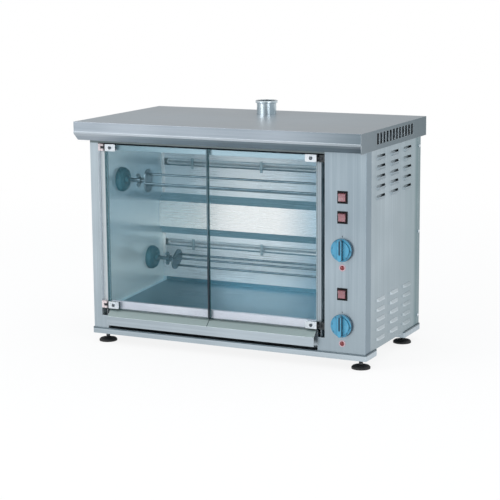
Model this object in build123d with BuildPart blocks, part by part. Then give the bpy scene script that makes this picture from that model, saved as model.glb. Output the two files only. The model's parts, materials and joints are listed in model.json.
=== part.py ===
from build123d import *
from math import asin, cos, hypot, radians, sin
import os

os.makedirs("parts", exist_ok=True)

# Countertop chicken rotisserie with two horizontal spits, millimetres.
# +Z is up, the glass doors face -Y, and the origin is on the table below the middle of the hood.

# Overall sizes
body_width = 780.0
body_depth = 387.0
body_height = 505.5          # from the top of the base rails to the hood lip
hood_height = 49.5
overhang_left = 18.0
overhang_right = 6.0
overhang_front = 50.0
overhang_rear = 25.0
foot_height = 26.0           # table to the underside of the base rails
rail_height = 16.0
casing_sheet = 1.5
liner_sheet = 1.5
running_gap = 0.3            # between pieces that slide past each other
shaft_gap = 0.08             # radial clearance of a turning shaft

# Front layout
left_post_width = 25.0
control_width = 110.0
corner_strip = 34.0          # depth of the front corner fold on each side
rear_strip = 18.0            # depth of the rear panel's fold on each side
left_return = 30.0           # folds beside the door opening
right_return = 12.0
shoulder_width = 19.0        # extra width of the posts beside the drip tray
shoulder_depth = 9.0
tray_opening_height = 34.0
opening_top_drop = 8.5       # underside of the top rail below the hood lip
left_slot = 10.0             # from each post to the flange of the chamber
right_slot = 13.0
flange_width = 14.0
flange_setback = 9.5

# Doors
glass_thickness = 6.0
glass_side_gap = 21.5
seam_gap = 3.0
glass_top_gap = 3.0
glass_bottom_gap = 20.5      # above the shoulders
clip_width = 33.0
clip_height = 18.5
clip_plate = 2.0
clip_corner = 1.5
pivot_out = 10.0             # hinge pin outside the edge of the glass
pin_radius = 2.5
knuckle_radius = 4.5

# Chamber
chamber_depth = 322.0        # from the front plane to the back wall
floor_rise = 14.0
lip_height = 20.0
ceiling_below_opening = 7.0
trough_height = 20.0
trough_depth = 20.0
upper_element_height = 410.0 # above the top of the base rails
lower_element_height = 181.0
hump_depth = 16.0            # reflector between the two elements
hump_slope = 21.0
hump_above_element = 26.0
hump_below_element = 88.0

# Spits, the lower one set back so that the upper one does not drip on it
upper_spit_setback = 98.0
lower_spit_setback = 251.0
upper_spit_height = 388.0    # above the top of the base rails
lower_spit_height = 149.0
shaft_radius = 5.0
rod_radius = 3.0
rod_circle = 18.0
cup_radius = 32.5
cup_depth = 18.0
socket_radius = 12.0
socket_clear = 1.0           # round the drive socket in the wall and the motor plate

# Flue
flue_radius = 26.5
flue_height = 37.0
flue_wall = 1.5
flue_x = -16.0
flue_from_rear = 76.0

# Controls, heights above the top of the base rails
control_setin = 62.5         # control centre line from the right side of the body
switch_heights = (392.0, 342.0, 149.5)
knob_heights = (261.0, 70.0)
lamp_heights = (216.0, 24.0)
knob_radius = 29.0
knob_depth = 20.0
bezel_width = 27.0
bezel_height = 31.0
bezel_cover = 2.5            # how far a bezel covers the panel round its cut-out
spindle_nose_radius = 5.5
lamp_body_radius = 4.3

# Places worked out from the sizes above
hood_width = body_width + overhang_left + overhang_right
hood_depth = body_depth + overhang_front + overhang_rear
body_left = -hood_width / 2 + overhang_left
body_right = body_left + body_width
front = -hood_depth / 2 + overhang_front
rear = front + body_depth
rail_top = foot_height + rail_height
lip_z = rail_top + body_height
hood_top = lip_z + hood_height
casing_top = hood_top - casing_sheet
opening_left = body_left + left_post_width
opening_right = body_right - control_width
shoulder_z = rail_top + tray_opening_height
opening_top = lip_z - opening_top_drop
door_centre = (opening_left + opening_right) / 2
wall_left = opening_left + left_slot           # outer face of the left chamber wall
wall_right = opening_right - right_slot
inner_left = wall_left + liner_sheet
inner_right = wall_right - liner_sheet
flange_y = front + flange_setback
back_y = front + chamber_depth
glass_bottom = shoulder_z + glass_bottom_gap
glass_top = opening_top - glass_top_gap
glass_back = front + glass_thickness
pane_width = (opening_right - opening_left) / 2 - glass_side_gap - seam_gap / 2
chamber_bottom = glass_bottom - 0.5
ceiling_z = opening_top - ceiling_below_opening
deck_z = rail_top + casing_sheet               # top of the bottom panel
body_top_z = lip_z + 8.5                       # underside of the top panel, inside the hood
side_panel_top = lip_z + 6.0
spit_axes = {
    "upper": (front + upper_spit_setback, rail_top + upper_spit_height),
    "lower": (front + lower_spit_setback, rail_top + lower_spit_height),
}
element_z = {"upper": rail_top + upper_element_height, "lower": rail_top + lower_element_height}
hump_bottom = element_z["lower"] + hump_above_element
hump_top = element_z["upper"] - hump_below_element
control_x = body_right - control_setin
flue_y = rear - flue_from_rear


def facing_front(y):
    # A vertical plane at depth y, on which sketches are drawn as seen from the front
    return Plane.XZ.offset(-y)


def across(x):
    # A vertical plane at x, drawn in depth and height, that faces the right
    return Plane.YZ.offset(x)


def level(z):
    return Plane.XY.offset(z)


def folded(points, sheet):
    # Outline of a bent sheet: the points run along one face, the sheet lies on their left
    normals = []
    for (x0, y0), (x1, y1) in zip(points, points[1:]):
        length = hypot(x1 - x0, y1 - y0)
        normals.append((-(y1 - y0) / length, (x1 - x0) / length))
    far_side = []
    for i, (x, y) in enumerate(points):
        before = normals[max(i - 1, 0)]
        after = normals[min(i, len(normals) - 1)]
        spread = 1 + before[0] * after[0] + before[1] * after[1]
        far_side.append(
            (
                x + sheet * (before[0] + after[0]) / spread,
                y + sheet * (before[1] + after[1]) / spread,
            )
        )
    return list(points) + far_side[::-1]


def slab(x0, x1, y0, y1, z0, z1, mode=Mode.ADD):
    # A box between two corners, for use inside a part
    with Locations(((x0 + x1) / 2, (y0 + y1) / 2, (z0 + z1) / 2)):
        Box(abs(x1 - x0), abs(y1 - y0), abs(z1 - z0), mode=mode)


# Base rails: shallow channels, open below, a little proud of the casing
rail_proud = 3.0
rail_sheet = 2.0
rail_corner = 4.0
front_rail_depth = 75.0
rear_rail_depth = 118.0
foot_inset = 24.0
front_foot_setback = 30.0
rear_foot_setback = 62.0
front_foot_y = front + front_foot_setback
rear_foot_y = rear - rear_foot_setback
foot_spots = {
    "front_left": (body_left + foot_inset, front_foot_y),
    "front_right": (body_right - foot_inset, front_foot_y),
    "rear_left": (body_left + foot_inset, rear_foot_y),
    "rear_right": (body_right - foot_inset, rear_foot_y),
}
stud_radius = 5.0
stud_gap = 0.2
stud_hole = stud_radius + stud_gap
nut_radius = 10.0
nut_height = 9.0


def base_rail(y0, y1, foot_y):
    with BuildPart() as rail:
        with BuildSketch(level(foot_height)):
            with Locations((0.5 * (body_left + body_right), 0.5 * (y0 + y1))):
                Rectangle(body_width + 2 * rail_proud, y1 - y0)
        extrude(amount=rail_height)
        fillet(rail.edges().filter_by(Axis.Z), radius=rail_corner)
        bottom = rail.faces().sort_by(Axis.Z)[0]
        offset(amount=-rail_sheet, openings=bottom)
        # Welded nuts over the levelling studs
        for foot_x in (body_left + foot_inset, body_right - foot_inset):
            with BuildSketch(level(rail_top - rail_sheet)):
                with Locations((foot_x, foot_y)):
                    RegularPolygon(radius=nut_radius, side_count=6)
            extrude(amount=-nut_height)
            with Locations((foot_x, foot_y, foot_height)):
                Cylinder(stud_hole, 2 * rail_height, mode=Mode.SUBTRACT)
    return rail


front_base_rail = base_rail(front - rail_proud, front - rail_proud + front_rail_depth, front_foot_y)
front_base_rail.part.label = "front_base_rail"
export_step(front_base_rail.part, "parts/front_base_rail.step")

rear_base_rail = base_rail(rear + rail_proud - rear_rail_depth, rear + rail_proud, rear_foot_y)
rear_base_rail.part.label = "rear_base_rail"
export_step(rear_base_rail.part, "parts/rear_base_rail.step")

# Levelling feet: a rubber disc moulded on a stud that screws into the rail
pad_radius = 24.0
pad_height = 7.0
pad_edge = 3.0
collar_radius = 9.0
collar_height = 3.0
stud_below_nut_top = 1.0
stud_top = rail_top - rail_sheet - stud_below_nut_top
for spot, (foot_x, foot_y) in foot_spots.items():
    with BuildPart() as levelling_foot:
        with BuildSketch(Plane.XZ.offset(-foot_y)):
            with BuildLine():
                Polyline(
                    (foot_x, 0),
                    (foot_x + pad_radius, 0),
                    (foot_x + pad_radius, pad_height - pad_edge),
                    (foot_x + pad_radius - pad_edge, pad_height),
                    (foot_x + collar_radius, pad_height + collar_height),
                    (foot_x + stud_radius, pad_height + collar_height),
                    (foot_x + stud_radius, stud_top),
                    (foot_x, stud_top),
                    close=True,
                )
            make_face()
        revolve(axis=Axis((foot_x, foot_y, 0), (0, 0, 1)))
    levelling_foot.part.label = f"levelling_foot_{spot}"
    export_step(levelling_foot.part, f"parts/levelling_foot_{spot}.step")

# Bottom panel of the casing, lying on the two rails
stud_passage = 3.0           # room round each stud
with BuildPart() as bottom_panel:
    slab(
        body_left + casing_sheet,
        body_right - casing_sheet,
        front + left_return,
        rear - casing_sheet,
        rail_top,
        deck_z,
    )
    with Locations([(x, y, rail_top) for x, y in foot_spots.values()]):
        Cylinder(stud_radius + stud_passage, 4 * casing_sheet, mode=Mode.SUBTRACT)
bottom_panel.part.label = "bottom_panel"
export_step(bottom_panel.part, "parts/bottom_panel.step")

# Front frame: left post, top rail and the left shoulder, folded and welded
with BuildPart() as front_frame:
    with BuildSketch(level(rail_top)):
        with BuildLine():
            Polyline(
                folded(
                    [
                        (opening_left, front + left_return),
                        (opening_left, front),
                        (body_left, front),
                        (body_left, front + corner_strip),
                    ],
                    -casing_sheet,
                ),
                close=True,
            )
        make_face()
    extrude(amount=casing_top - rail_top)
    with BuildSketch(across(opening_left)):
        with BuildLine():
            Polyline(
                folded(
                    [
                        (front + right_return, opening_top),
                        (front, opening_top),
                        (front, casing_top),
                        (front + right_return, casing_top),
                    ],
                    -casing_sheet,
                ),
                close=True,
            )
        make_face()
    extrude(amount=opening_right - opening_left)
    # Shoulder below the left door hinge
    shoulder_end = opening_left + shoulder_width
    slab(opening_left - casing_sheet, shoulder_end, front, front + casing_sheet, rail_top, shoulder_z)
    slab(
        opening_left - casing_sheet,
        shoulder_end,
        front,
        front + shoulder_depth,
        shoulder_z - casing_sheet,
        shoulder_z,
    )
    slab(
        shoulder_end - casing_sheet,
        shoulder_end,
        front,
        front + shoulder_depth,
        rail_top,
        shoulder_z,
    )
    outer_corner = front_frame.edges().filter_by(Axis.Z).sort_by_distance((body_left, front, lip_z))[0]
    fillet(outer_corner, radius=casing_sheet)
front_frame.part.label = "front_frame"
export_step(front_frame.part, "parts/front_frame.step")

# Control panel: front face, right corner fold, inner return and right shoulder
with BuildPart() as control_panel:
    with BuildSketch(level(rail_top)):
        with BuildLine():
            Polyline(
                folded(
                    [
                        (opening_right, front + right_return),
                        (opening_right, front),
                        (body_right, front),
                        (body_right, front + corner_strip),
                    ],
                    casing_sheet,
                ),
                close=True,
            )
        make_face()
    extrude(amount=casing_top - rail_top)
    shoulder_start = opening_right - shoulder_width
    slab(shoulder_start, opening_right + casing_sheet, front, front + casing_sheet, rail_top, shoulder_z)
    slab(
        shoulder_start,
        opening_right + casing_sheet,
        front,
        front + shoulder_depth,
        shoulder_z - casing_sheet,
        shoulder_z,
    )
    slab(
        shoulder_start,
        shoulder_start + casing_sheet,
        front,
        front + shoulder_depth,
        rail_top,
        shoulder_z,
    )
    outer_corner = control_panel.edges().filter_by(Axis.Z).sort_by_distance((body_right, front, lip_z))[0]
    fillet(outer_corner, radius=casing_sheet)
    # Cut-outs for the switches, thermostat shafts and lamps
    with BuildSketch(facing_front(front)):
        with Locations([(control_x, rail_top + h) for h in switch_heights]):
            Rectangle(bezel_width - 2 * bezel_cover, bezel_height - 2 * bezel_cover)
        with Locations([(control_x, rail_top + h) for h in knob_heights]):
            Circle(spindle_nose_radius + running_gap)
        with Locations([(control_x, rail_top + h) for h in lamp_heights]):
            Circle(lamp_body_radius + running_gap)
    extrude(amount=-casing_sheet, mode=Mode.SUBTRACT)
control_panel.part.label = "control_panel"
export_step(control_panel.part, "parts/control_panel.step")

# Left side panel, plain
with BuildPart() as left_side_panel:
    slab(
        body_left,
        body_left + casing_sheet,
        front + corner_strip,
        rear - rear_strip,
        rail_top,
        side_panel_top,
    )
left_side_panel.part.label = "left_side_panel"
export_step(left_side_panel.part, "parts/left_side_panel.step")

# Right side panel with two groups of pressed louvres
louvre_length = 63.0
louvre_rise = 5.0
louvre_height = 11.0
louvre_taper = 12.0          # how far each end slopes in
louvre_crest = 2.0           # width of the raised lip
louvre_wall = 1.4
louvre_pitch = 25.0
louvre_column_pitch = 94.0
louvre_columns = 3
louvre_rows = 5
upper_louvre_height = 429.5  # middle of each group above the base rails
lower_louvre_height = 76.0
upper_louvre_slot = 4.5      # slot cut in the panel past the lip of an upper louvre
lower_louvre_slot = 0.1      # the lower ones open only behind their lips
louvre_groups = (
    (rail_top + upper_louvre_height, True, upper_louvre_slot),
    (rail_top + lower_louvre_height, False, lower_louvre_slot),
)
side_centre_y = (front + rear) / 2


def louvre_wedge(y, z, opens_up, wall, lip_reach):
    # A wedge that rises out of the panel towards its lip, with both ends sloping in
    lip_sign = 1 if opens_up else -1
    root_x = body_right - casing_sheet
    crest_x = body_right + louvre_rise - wall
    half_length = louvre_length / 2 - wall
    root_z = z - lip_sign * (louvre_height / 2 - wall)
    lip_edge_z = z + lip_sign * (louvre_height / 2 + lip_reach)
    with BuildPart() as wedge:
        with BuildSketch(facing_front(y + half_length)):
            with BuildLine():
                Polyline(
                    (root_x, root_z),
                    (crest_x, z + lip_sign * (louvre_height / 2 - louvre_crest)),
                    (crest_x, lip_edge_z),
                    (root_x, lip_edge_z),
                    close=True,
                )
            make_face()
        extrude(amount=2 * half_length)
        with BuildSketch(level(z - louvre_height)):
            with BuildLine():
                Polyline(
                    (root_x, y - half_length),
                    (crest_x, y - half_length + louvre_taper),
                    (crest_x, y + half_length - louvre_taper),
                    (root_x, y + half_length),
                    close=True,
                )
            make_face()
        extrude(amount=2 * louvre_height, mode=Mode.INTERSECT)
    return wedge.part


with BuildPart() as right_side_panel:
    slab(
        body_right - casing_sheet,
        body_right,
        front + corner_strip,
        rear - rear_strip,
        rail_top,
        side_panel_top,
    )
    for group_z, opens_up, slot in louvre_groups:
        for row in range(louvre_rows):
            row_z = group_z + (row - (louvre_rows - 1) / 2) * louvre_pitch
            for column in range(louvre_columns):
                column_y = side_centre_y + (column - (louvre_columns - 1) / 2) * louvre_column_pitch
                add(louvre_wedge(column_y, row_z, opens_up, 0, 0))
                add(louvre_wedge(column_y, row_z, opens_up, louvre_wall, slot), mode=Mode.SUBTRACT)
right_side_panel.part.label = "right_side_panel"
export_step(right_side_panel.part, "parts/right_side_panel.step")

# Rear panel with cooling slots behind the control compartment and the cable entry
gland_setin = 55.0
gland_height = 45.0
gland_radius = 10.0
gland_x = body_right - gland_setin
gland_z = rail_top + gland_height
rear_slot_height = 300.0     # middle of the row above the base rails
rear_slot_pitch = 16.0
rear_slot_count = 10
rear_slot_length = 70.0
rear_slot_width = 6.0
with BuildPart() as rear_panel:
    with BuildSketch(level(rail_top)):
        with BuildLine():
            Polyline(
                folded(
                    [
                        (body_right, rear - rear_strip),
                        (body_right, rear),
                        (body_left, rear),
                        (body_left, rear - rear_strip),
                    ],
                    casing_sheet,
                ),
                close=True,
            )
        make_face()
    extrude(amount=side_panel_top - rail_top)
    with BuildSketch(facing_front(rear)):
        with Locations((gland_x, gland_z)):
            Circle(gland_radius + running_gap)
        with Locations((control_x, rail_top + rear_slot_height)):
            with GridLocations(0, rear_slot_pitch, 1, rear_slot_count):
                SlotOverall(rear_slot_length, rear_slot_width)
    extrude(amount=casing_sheet, mode=Mode.SUBTRACT)
rear_panel.part.label = "rear_panel"
export_step(rear_panel.part, "parts/rear_panel.step")

# Top panel of the casing, below the hollow hood
with BuildPart() as body_top_panel:
    slab(
        body_left + casing_sheet,
        wall_right,
        front + left_return,
        rear - casing_sheet,
        body_top_z,
        body_top_z + casing_sheet,
    )
    with Locations((flue_x, flue_y, body_top_z)):
        Cylinder(flue_radius - flue_wall, 4 * casing_sheet, mode=Mode.SUBTRACT)
body_top_panel.part.label = "body_top_panel"
export_step(body_top_panel.part, "parts/body_top_panel.step")

# Hood: one folded cap with a hem and a bevelled return along the front, and end plates
hood_face_height = 31.0
hood_return = 21.0
hem_height = 5.0
hem_proud = 0.8
pan_gap = 0.5                # between the hood's underside and the casing
vent_count = 12
vent_width = 14.0
vent_height = 28.0
vent_pitch = 22.0
vent_setback = 232.0
vent_centre_height = 26.5
hood_front = -hood_depth / 2
hood_rear = hood_depth / 2
hood_left = -hood_width / 2
hood_right = hood_width / 2
hood_bend = hood_top - hood_face_height
hem_top = hood_bend + hem_height
hood_face_y = hood_front + hem_proud
vent_y = hood_front + vent_setback
vent_z = lip_z + vent_centre_height
with BuildPart() as hood:
    with BuildSketch(across(hood_left)):
        with BuildLine():
            Polyline(
                folded(
                    [
                        (front - pan_gap, lip_z),
                        (hood_front + hood_return, lip_z),
                        (hood_front, hood_bend),
                        (hood_front, hem_top),
                        (hood_face_y, hem_top + hem_proud),
                        (hood_face_y, hood_top),
                        (hood_rear, hood_top),
                        (hood_rear, lip_z),
                        (rear + pan_gap, lip_z),
                    ],
                    -casing_sheet,
                ),
                close=True,
            )
        make_face()
    extrude(amount=hood_width)
    # Left end plate follows the bevel, right end plate is square
    with BuildSketch(across(hood_left)):
        with BuildLine():
            Polyline(
                (hood_front + hood_return, lip_z),
                (hood_front, hood_bend),
                (hood_front, hem_top),
                (hood_face_y, hem_top + hem_proud),
                (hood_face_y, hood_top),
                (hood_rear, hood_top),
                (hood_rear, lip_z),
                close=True,
            )
        make_face()
    extrude(amount=casing_sheet)
    with BuildSketch(across(hood_right - casing_sheet)):
        with Locations((0, (lip_z + hood_top) / 2)):
            Rectangle(hood_depth, hood_height)
    extrude(amount=casing_sheet)
    underside = (lip_z, lip_z + casing_sheet)
    slab(hood_left, body_left - pan_gap, hood_front + hood_return, hood_rear, *underside)
    slab(body_right + pan_gap, hood_right, hood_front + hood_return, hood_rear, *underside)
    # Vent grille in the right end plate
    with BuildSketch(across(hood_right)):
        with Locations((vent_y, vent_z)):
            with GridLocations(vent_pitch, 0, vent_count, 1):
                Rectangle(vent_width, vent_height)
    extrude(amount=-casing_sheet, mode=Mode.SUBTRACT)
    with Locations((flue_x, flue_y, hood_top)):
        Cylinder(flue_radius + running_gap, 4 * casing_sheet, mode=Mode.SUBTRACT)
hood.part.label = "hood"
export_step(hood.part, "parts/hood.step")

# Flue pipe: stands on the top panel with a flange, passes through the hood and ends in a beaded rim
flue_top = hood_top + flue_height
rim_height = 7.0
rim_proud = 3.5
rim_bevel = 1.0
foot_flange = 10.0
rim_radius = flue_radius + rim_proud
flange_radius = flue_radius + foot_flange
flue_foot = body_top_z + casing_sheet
with BuildPart() as flue_pipe:
    with BuildSketch(Plane.XZ.offset(-flue_y)):
        with BuildLine():
            Polyline(
                (flue_x + flue_radius - flue_wall, flue_foot),
                (flue_x + flange_radius, flue_foot),
                (flue_x + flange_radius, flue_foot + flue_wall),
                (flue_x + flue_radius, flue_foot + flue_wall),
                (flue_x + flue_radius, flue_top - rim_height),
                (flue_x + rim_radius, flue_top - rim_height + rim_bevel),
                (flue_x + rim_radius, flue_top - rim_bevel),
                (flue_x + rim_radius - rim_bevel, flue_top),
                (flue_x + flue_radius - flue_wall, flue_top),
                close=True,
            )
        make_face()
    revolve(axis=Axis((flue_x, flue_y, 0), (0, 0, 1)))
flue_pipe.part.label = "flue_pipe"
export_step(flue_pipe.part, "parts/flue_pipe.step")

# Chamber side walls: each stands on the bottom panel and folds in at the front as a flange
fold_radius = 0.9 * liner_sheet
corner_flange = 9.0          # laps the back wall above and below its hump
corner_flange_bottom = 190.0
journal_passage = 3.0        # room round the end of a spit in the wall


def chamber_wall(outer_x, inward):
    edge_x = outer_x + inward * flange_width
    with BuildPart() as wall:
        with BuildSketch(level(deck_z)):
            with BuildLine():
                Polyline(
                    (outer_x, flange_y),
                    (outer_x + inward * liner_sheet, flange_y),
                    (outer_x + inward * liner_sheet, back_y + liner_sheet),
                    (outer_x, back_y + liner_sheet),
                    close=True,
                )
            make_face()
        extrude(amount=ceiling_z - deck_z)
        slab(outer_x, edge_x, flange_y, flange_y + liner_sheet, chamber_bottom, ceiling_z)
        flange_x = outer_x + inward * (liner_sheet + corner_flange)
        slab(outer_x, flange_x, back_y - liner_sheet, back_y, corner_flange_bottom, hump_bottom)
        slab(outer_x, flange_x, back_y - liner_sheet, back_y, hump_top, ceiling_z)
        fold = wall.edges().filter_by(Axis.Z).sort_by_distance((outer_x, flange_y, ceiling_z / 2))[0]
        fillet(fold, radius=fold_radius)
    return wall


chamber_left_wall = chamber_wall(wall_left, 1)
with BuildPart() as chamber_left_wall_bored:
    add(chamber_left_wall.part)
    with BuildSketch(across(wall_left)):
        with Locations(list(spit_axes.values())):
            Circle(shaft_radius + journal_passage)
    extrude(amount=liner_sheet, mode=Mode.SUBTRACT)
    # Strip that closes the gap beside the left post, behind the hinge blocks
    slab(
        opening_left + running_gap,
        wall_left,
        flange_y + liner_sheet,
        flange_y + 2 * liner_sheet,
        chamber_bottom,
        ceiling_z,
    )
chamber_left_wall_bored.part.label = "chamber_left_wall"
export_step(chamber_left_wall_bored.part, "parts/chamber_left_wall.step")

element_radius = 3.5
leg_spacing = 11.0
element_y = back_y + trough_depth / 2
chamber_right_wall = chamber_wall(wall_right, -1)
with BuildPart() as chamber_right_wall_bored:
    add(chamber_right_wall.part)
    with BuildSketch(across(inner_right)):
        with Locations(list(spit_axes.values())):
            Circle(socket_radius + socket_clear)
    extrude(amount=liner_sheet, mode=Mode.SUBTRACT)
chamber_right_wall_bored.part.label = "chamber_right_wall"
export_step(chamber_right_wall_bored.part, "parts/chamber_right_wall.step")

# Back wall: one folded sheet with a trough for each heating element and a reflector hump between
with BuildPart() as chamber_back_wall:
    with BuildSketch(across(inner_left)):
        with BuildLine():
            half_trough = trough_height / 2
            hump_y = back_y - hump_depth
            Polyline(
                folded(
                    [
                        (back_y, deck_z),
                        (back_y, element_z["lower"] - half_trough),
                        (back_y + trough_depth, element_z["lower"] - half_trough),
                        (back_y + trough_depth, element_z["lower"] + half_trough),
                        (back_y, element_z["lower"] + half_trough),
                        (back_y, hump_bottom),
                        (hump_y, hump_bottom + hump_slope),
                        (hump_y, hump_top - hump_slope),
                        (back_y, hump_top),
                        (back_y, element_z["upper"] - half_trough),
                        (back_y + trough_depth, element_z["upper"] - half_trough),
                        (back_y + trough_depth, element_z["upper"] + half_trough),
                        (back_y, element_z["upper"] + half_trough),
                        (back_y, ceiling_z),
                    ],
                    -liner_sheet,
                ),
                close=True,
            )
        make_face()
    extrude(amount=inner_right - inner_left)
chamber_back_wall.part.label = "chamber_back_wall"
export_step(chamber_back_wall.part, "parts/chamber_back_wall.step")

# Chamber ceiling, folded down behind the top of the doors
ceiling_drop = 12.0
vapour_slot_setback = 45.0   # middle of the slots, before the back wall
vapour_slot_pitch = 16.0
vapour_slot_count = 4
vapour_slot_length = 110.0
vapour_slot_width = 8.0
with BuildPart() as chamber_ceiling:
    slab(wall_left, wall_right, flange_y, back_y + liner_sheet, ceiling_z, ceiling_z + liner_sheet)
    slab(
        wall_left + flange_width,
        wall_right - flange_width,
        flange_y,
        flange_y + liner_sheet,
        ceiling_z - ceiling_drop,
        ceiling_z,
    )
    # Slots through which the vapour rises to the flue
    with BuildSketch(level(ceiling_z)):
        with Locations((flue_x, back_y - vapour_slot_setback)):
            with GridLocations(0, vapour_slot_pitch, 1, vapour_slot_count):
                SlotOverall(vapour_slot_length, vapour_slot_width)
    extrude(amount=liner_sheet, mode=Mode.SUBTRACT)
chamber_ceiling.part.label = "chamber_ceiling"
export_step(chamber_ceiling.part, "parts/chamber_ceiling.step")

# Chamber floor: slopes to the front, where the fat runs off its drip edge into the tray
drip_edge_setback = 45.0
drip_edge_rise = 4.0         # above the bottom of the chamber's front
drip_edge_drop = 8.0
floor_upstand = 10.0         # fold against the back wall
drip_edge_y = front + drip_edge_setback
drip_edge_z = chamber_bottom + drip_edge_rise
with BuildPart() as chamber_floor:
    with BuildSketch(across(inner_left)):
        with BuildLine():
            Polyline(
                folded(
                    [
                        (drip_edge_y, drip_edge_z - drip_edge_drop),
                        (drip_edge_y, drip_edge_z),
                        (back_y - liner_sheet, drip_edge_z + floor_rise),
                        (back_y - liner_sheet, drip_edge_z + floor_rise + floor_upstand),
                    ],
                    -liner_sheet,
                ),
                close=True,
            )
        make_face()
    extrude(amount=inner_right - inner_left)
chamber_floor.part.label = "chamber_floor"
export_step(chamber_floor.part, "parts/chamber_floor.step")

# Front lip of the chamber, the light strip behind the bottom of the glass
lip_ledge = 11.0
lip_fold_run = 4.0
lip_fold_drop = 6.0
with BuildPart() as chamber_front_lip:
    with BuildSketch(across(wall_left + flange_width)):
        with BuildLine():
            Polyline(
                folded(
                    [
                        (flange_y, chamber_bottom),
                        (flange_y, chamber_bottom + lip_height),
                        (flange_y + lip_ledge, chamber_bottom + lip_height),
                        (
                            flange_y + lip_ledge + lip_fold_run,
                            chamber_bottom + lip_height - lip_fold_drop,
                        ),
                    ],
                    -liner_sheet,
                ),
                close=True,
            )
        make_face()
    extrude(amount=wall_right - wall_left - 2 * flange_width)
chamber_front_lip.part.label = "chamber_front_lip"
export_step(chamber_front_lip.part, "parts/chamber_front_lip.step")

# Drip tray: a drawer with a sloped sill under the doors and an apron that is pulled by its edge
tray_sheet = 1.5
tray_side_gap = 9.0
apron_side_gap = 4.5
tray_lift = 6.5              # above the bottom panel
tray_wall_height = 30.0
tray_back_setback = 305.0
tray_front_setback = 14.0
sill_below_glass = 2.5
sill_back_setback = 5.0
sill_fold = 3.0
apron_proud = 14.0
apron_above_shoulder = 1.0
apron_above_rail = 11.0
grip_fold = 8.0              # return of the apron, under which the fingers pull
tray_bottom = deck_z + tray_lift
tray_back = front + tray_back_setback
tray_front_wall = front + tray_front_setback
sill_top_z = glass_bottom - sill_below_glass
sill_back_y = front + sill_back_setback
apron_y = front - apron_proud
apron_top = shoulder_z + apron_above_shoulder
apron_bottom = rail_top + apron_above_rail
tray_left = opening_left + shoulder_width + tray_side_gap
tray_right = opening_right - shoulder_width - tray_side_gap
apron_left = opening_left + shoulder_width + apron_side_gap
apron_right = opening_right - shoulder_width - apron_side_gap
with BuildPart() as drip_tray:
    slab(tray_left, tray_right, tray_front_wall, tray_back, tray_bottom, tray_bottom + tray_wall_height)
    slab(
        tray_left + tray_sheet,
        tray_right - tray_sheet,
        tray_front_wall + tray_sheet,
        tray_back - tray_sheet,
        tray_bottom + tray_sheet,
        tray_bottom + tray_wall_height,
        mode=Mode.SUBTRACT,
    )
    # Sill and apron
    with BuildSketch(across(apron_left)):
        with BuildLine():
            Polyline(
                folded(
                    [
                        (tray_front_wall, tray_bottom),
                        (tray_front_wall, sill_top_z - sill_fold),
                        (sill_back_y, sill_top_z),
                        (apron_y, apron_top),
                        (apron_y, apron_bottom),
                        (apron_y + grip_fold, apron_bottom),
                    ],
                    tray_sheet,
                ),
                close=True,
            )
        make_face()
    extrude(amount=apron_right - apron_left)
drip_tray.part.label = "drip_tray"
export_step(drip_tray.part, "parts/drip_tray.step")

# Runners for the tray: two angles on the bottom panel, that carry it and guide its sides
runner_gap = 1.0
runner_shelf = 10.0
runner_guide = 12.0          # height of the guide beside the tray
runner_setback = 10.0
with BuildPart() as tray_runners:
    for inner_x, outward in ((tray_left, -1), (tray_right, 1)):
        guide_x = inner_x + outward * runner_gap
        slab(
            inner_x - outward * runner_shelf,
            guide_x + outward * tray_sheet,
            tray_front_wall + runner_setback,
            tray_back,
            tray_bottom - running_gap - tray_sheet,
            tray_bottom - running_gap,
        )
        slab(
            guide_x,
            guide_x + outward * tray_sheet,
            tray_front_wall + runner_setback,
            tray_back,
            deck_z,
            tray_bottom + runner_guide,
        )
tray_runners.part.label = "tray_runners"
export_step(tray_runners.part, "parts/tray_runners.step")

# Doors: each glass pane hangs on two corner clips, whose ears turn on pins in the frame blocks
pivot_y = front + glass_thickness / 2
clip_front_y = front - clip_plate
clip_rear_y = glass_back + clip_plate
web = 2.5
ear_height = 6.0
ear_depth = 6.0              # thinner than the knuckle, so that it clears the block of an open door
ear_gap = 0.4
knuckle_clear = 1.0
knuckle_web = 2.5            # web between a knuckle and its base, in front of the pin
screw_head_radius = 4.5
screw_head_height = 1.8
screw_shank = 2.5
screw_gap = 0.1
glass_hole = 4.0
glass_arris = 0.6
hinge_block_depth = flange_setback + liner_sheet - 0.5
clip_z = {"lower": glass_bottom + clip_height / 2, "upper": glass_top - clip_height / 2}
clip_screw_setin = 15.0
door_sides = {
    "left": (door_centre - seam_gap / 2 - pane_width, 1),
    "right": (door_centre + seam_gap / 2 + pane_width, -1),
}


def door_glass(edge_x, inward):
    with BuildPart() as pane:
        with BuildSketch(facing_front(glass_back)):
            with Locations((edge_x + inward * pane_width / 2, (glass_bottom + glass_top) / 2)):
                Rectangle(pane_width, glass_top - glass_bottom)
        extrude(amount=glass_thickness)
        chamfer(pane.edges().filter_by(Axis.Z), length=glass_arris)
        with BuildSketch(facing_front(glass_back)):
            with Locations([(edge_x + inward * clip_screw_setin, z) for z in clip_z.values()]):
                Circle(glass_hole)
        extrude(amount=glass_thickness, mode=Mode.SUBTRACT)
    return pane


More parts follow.
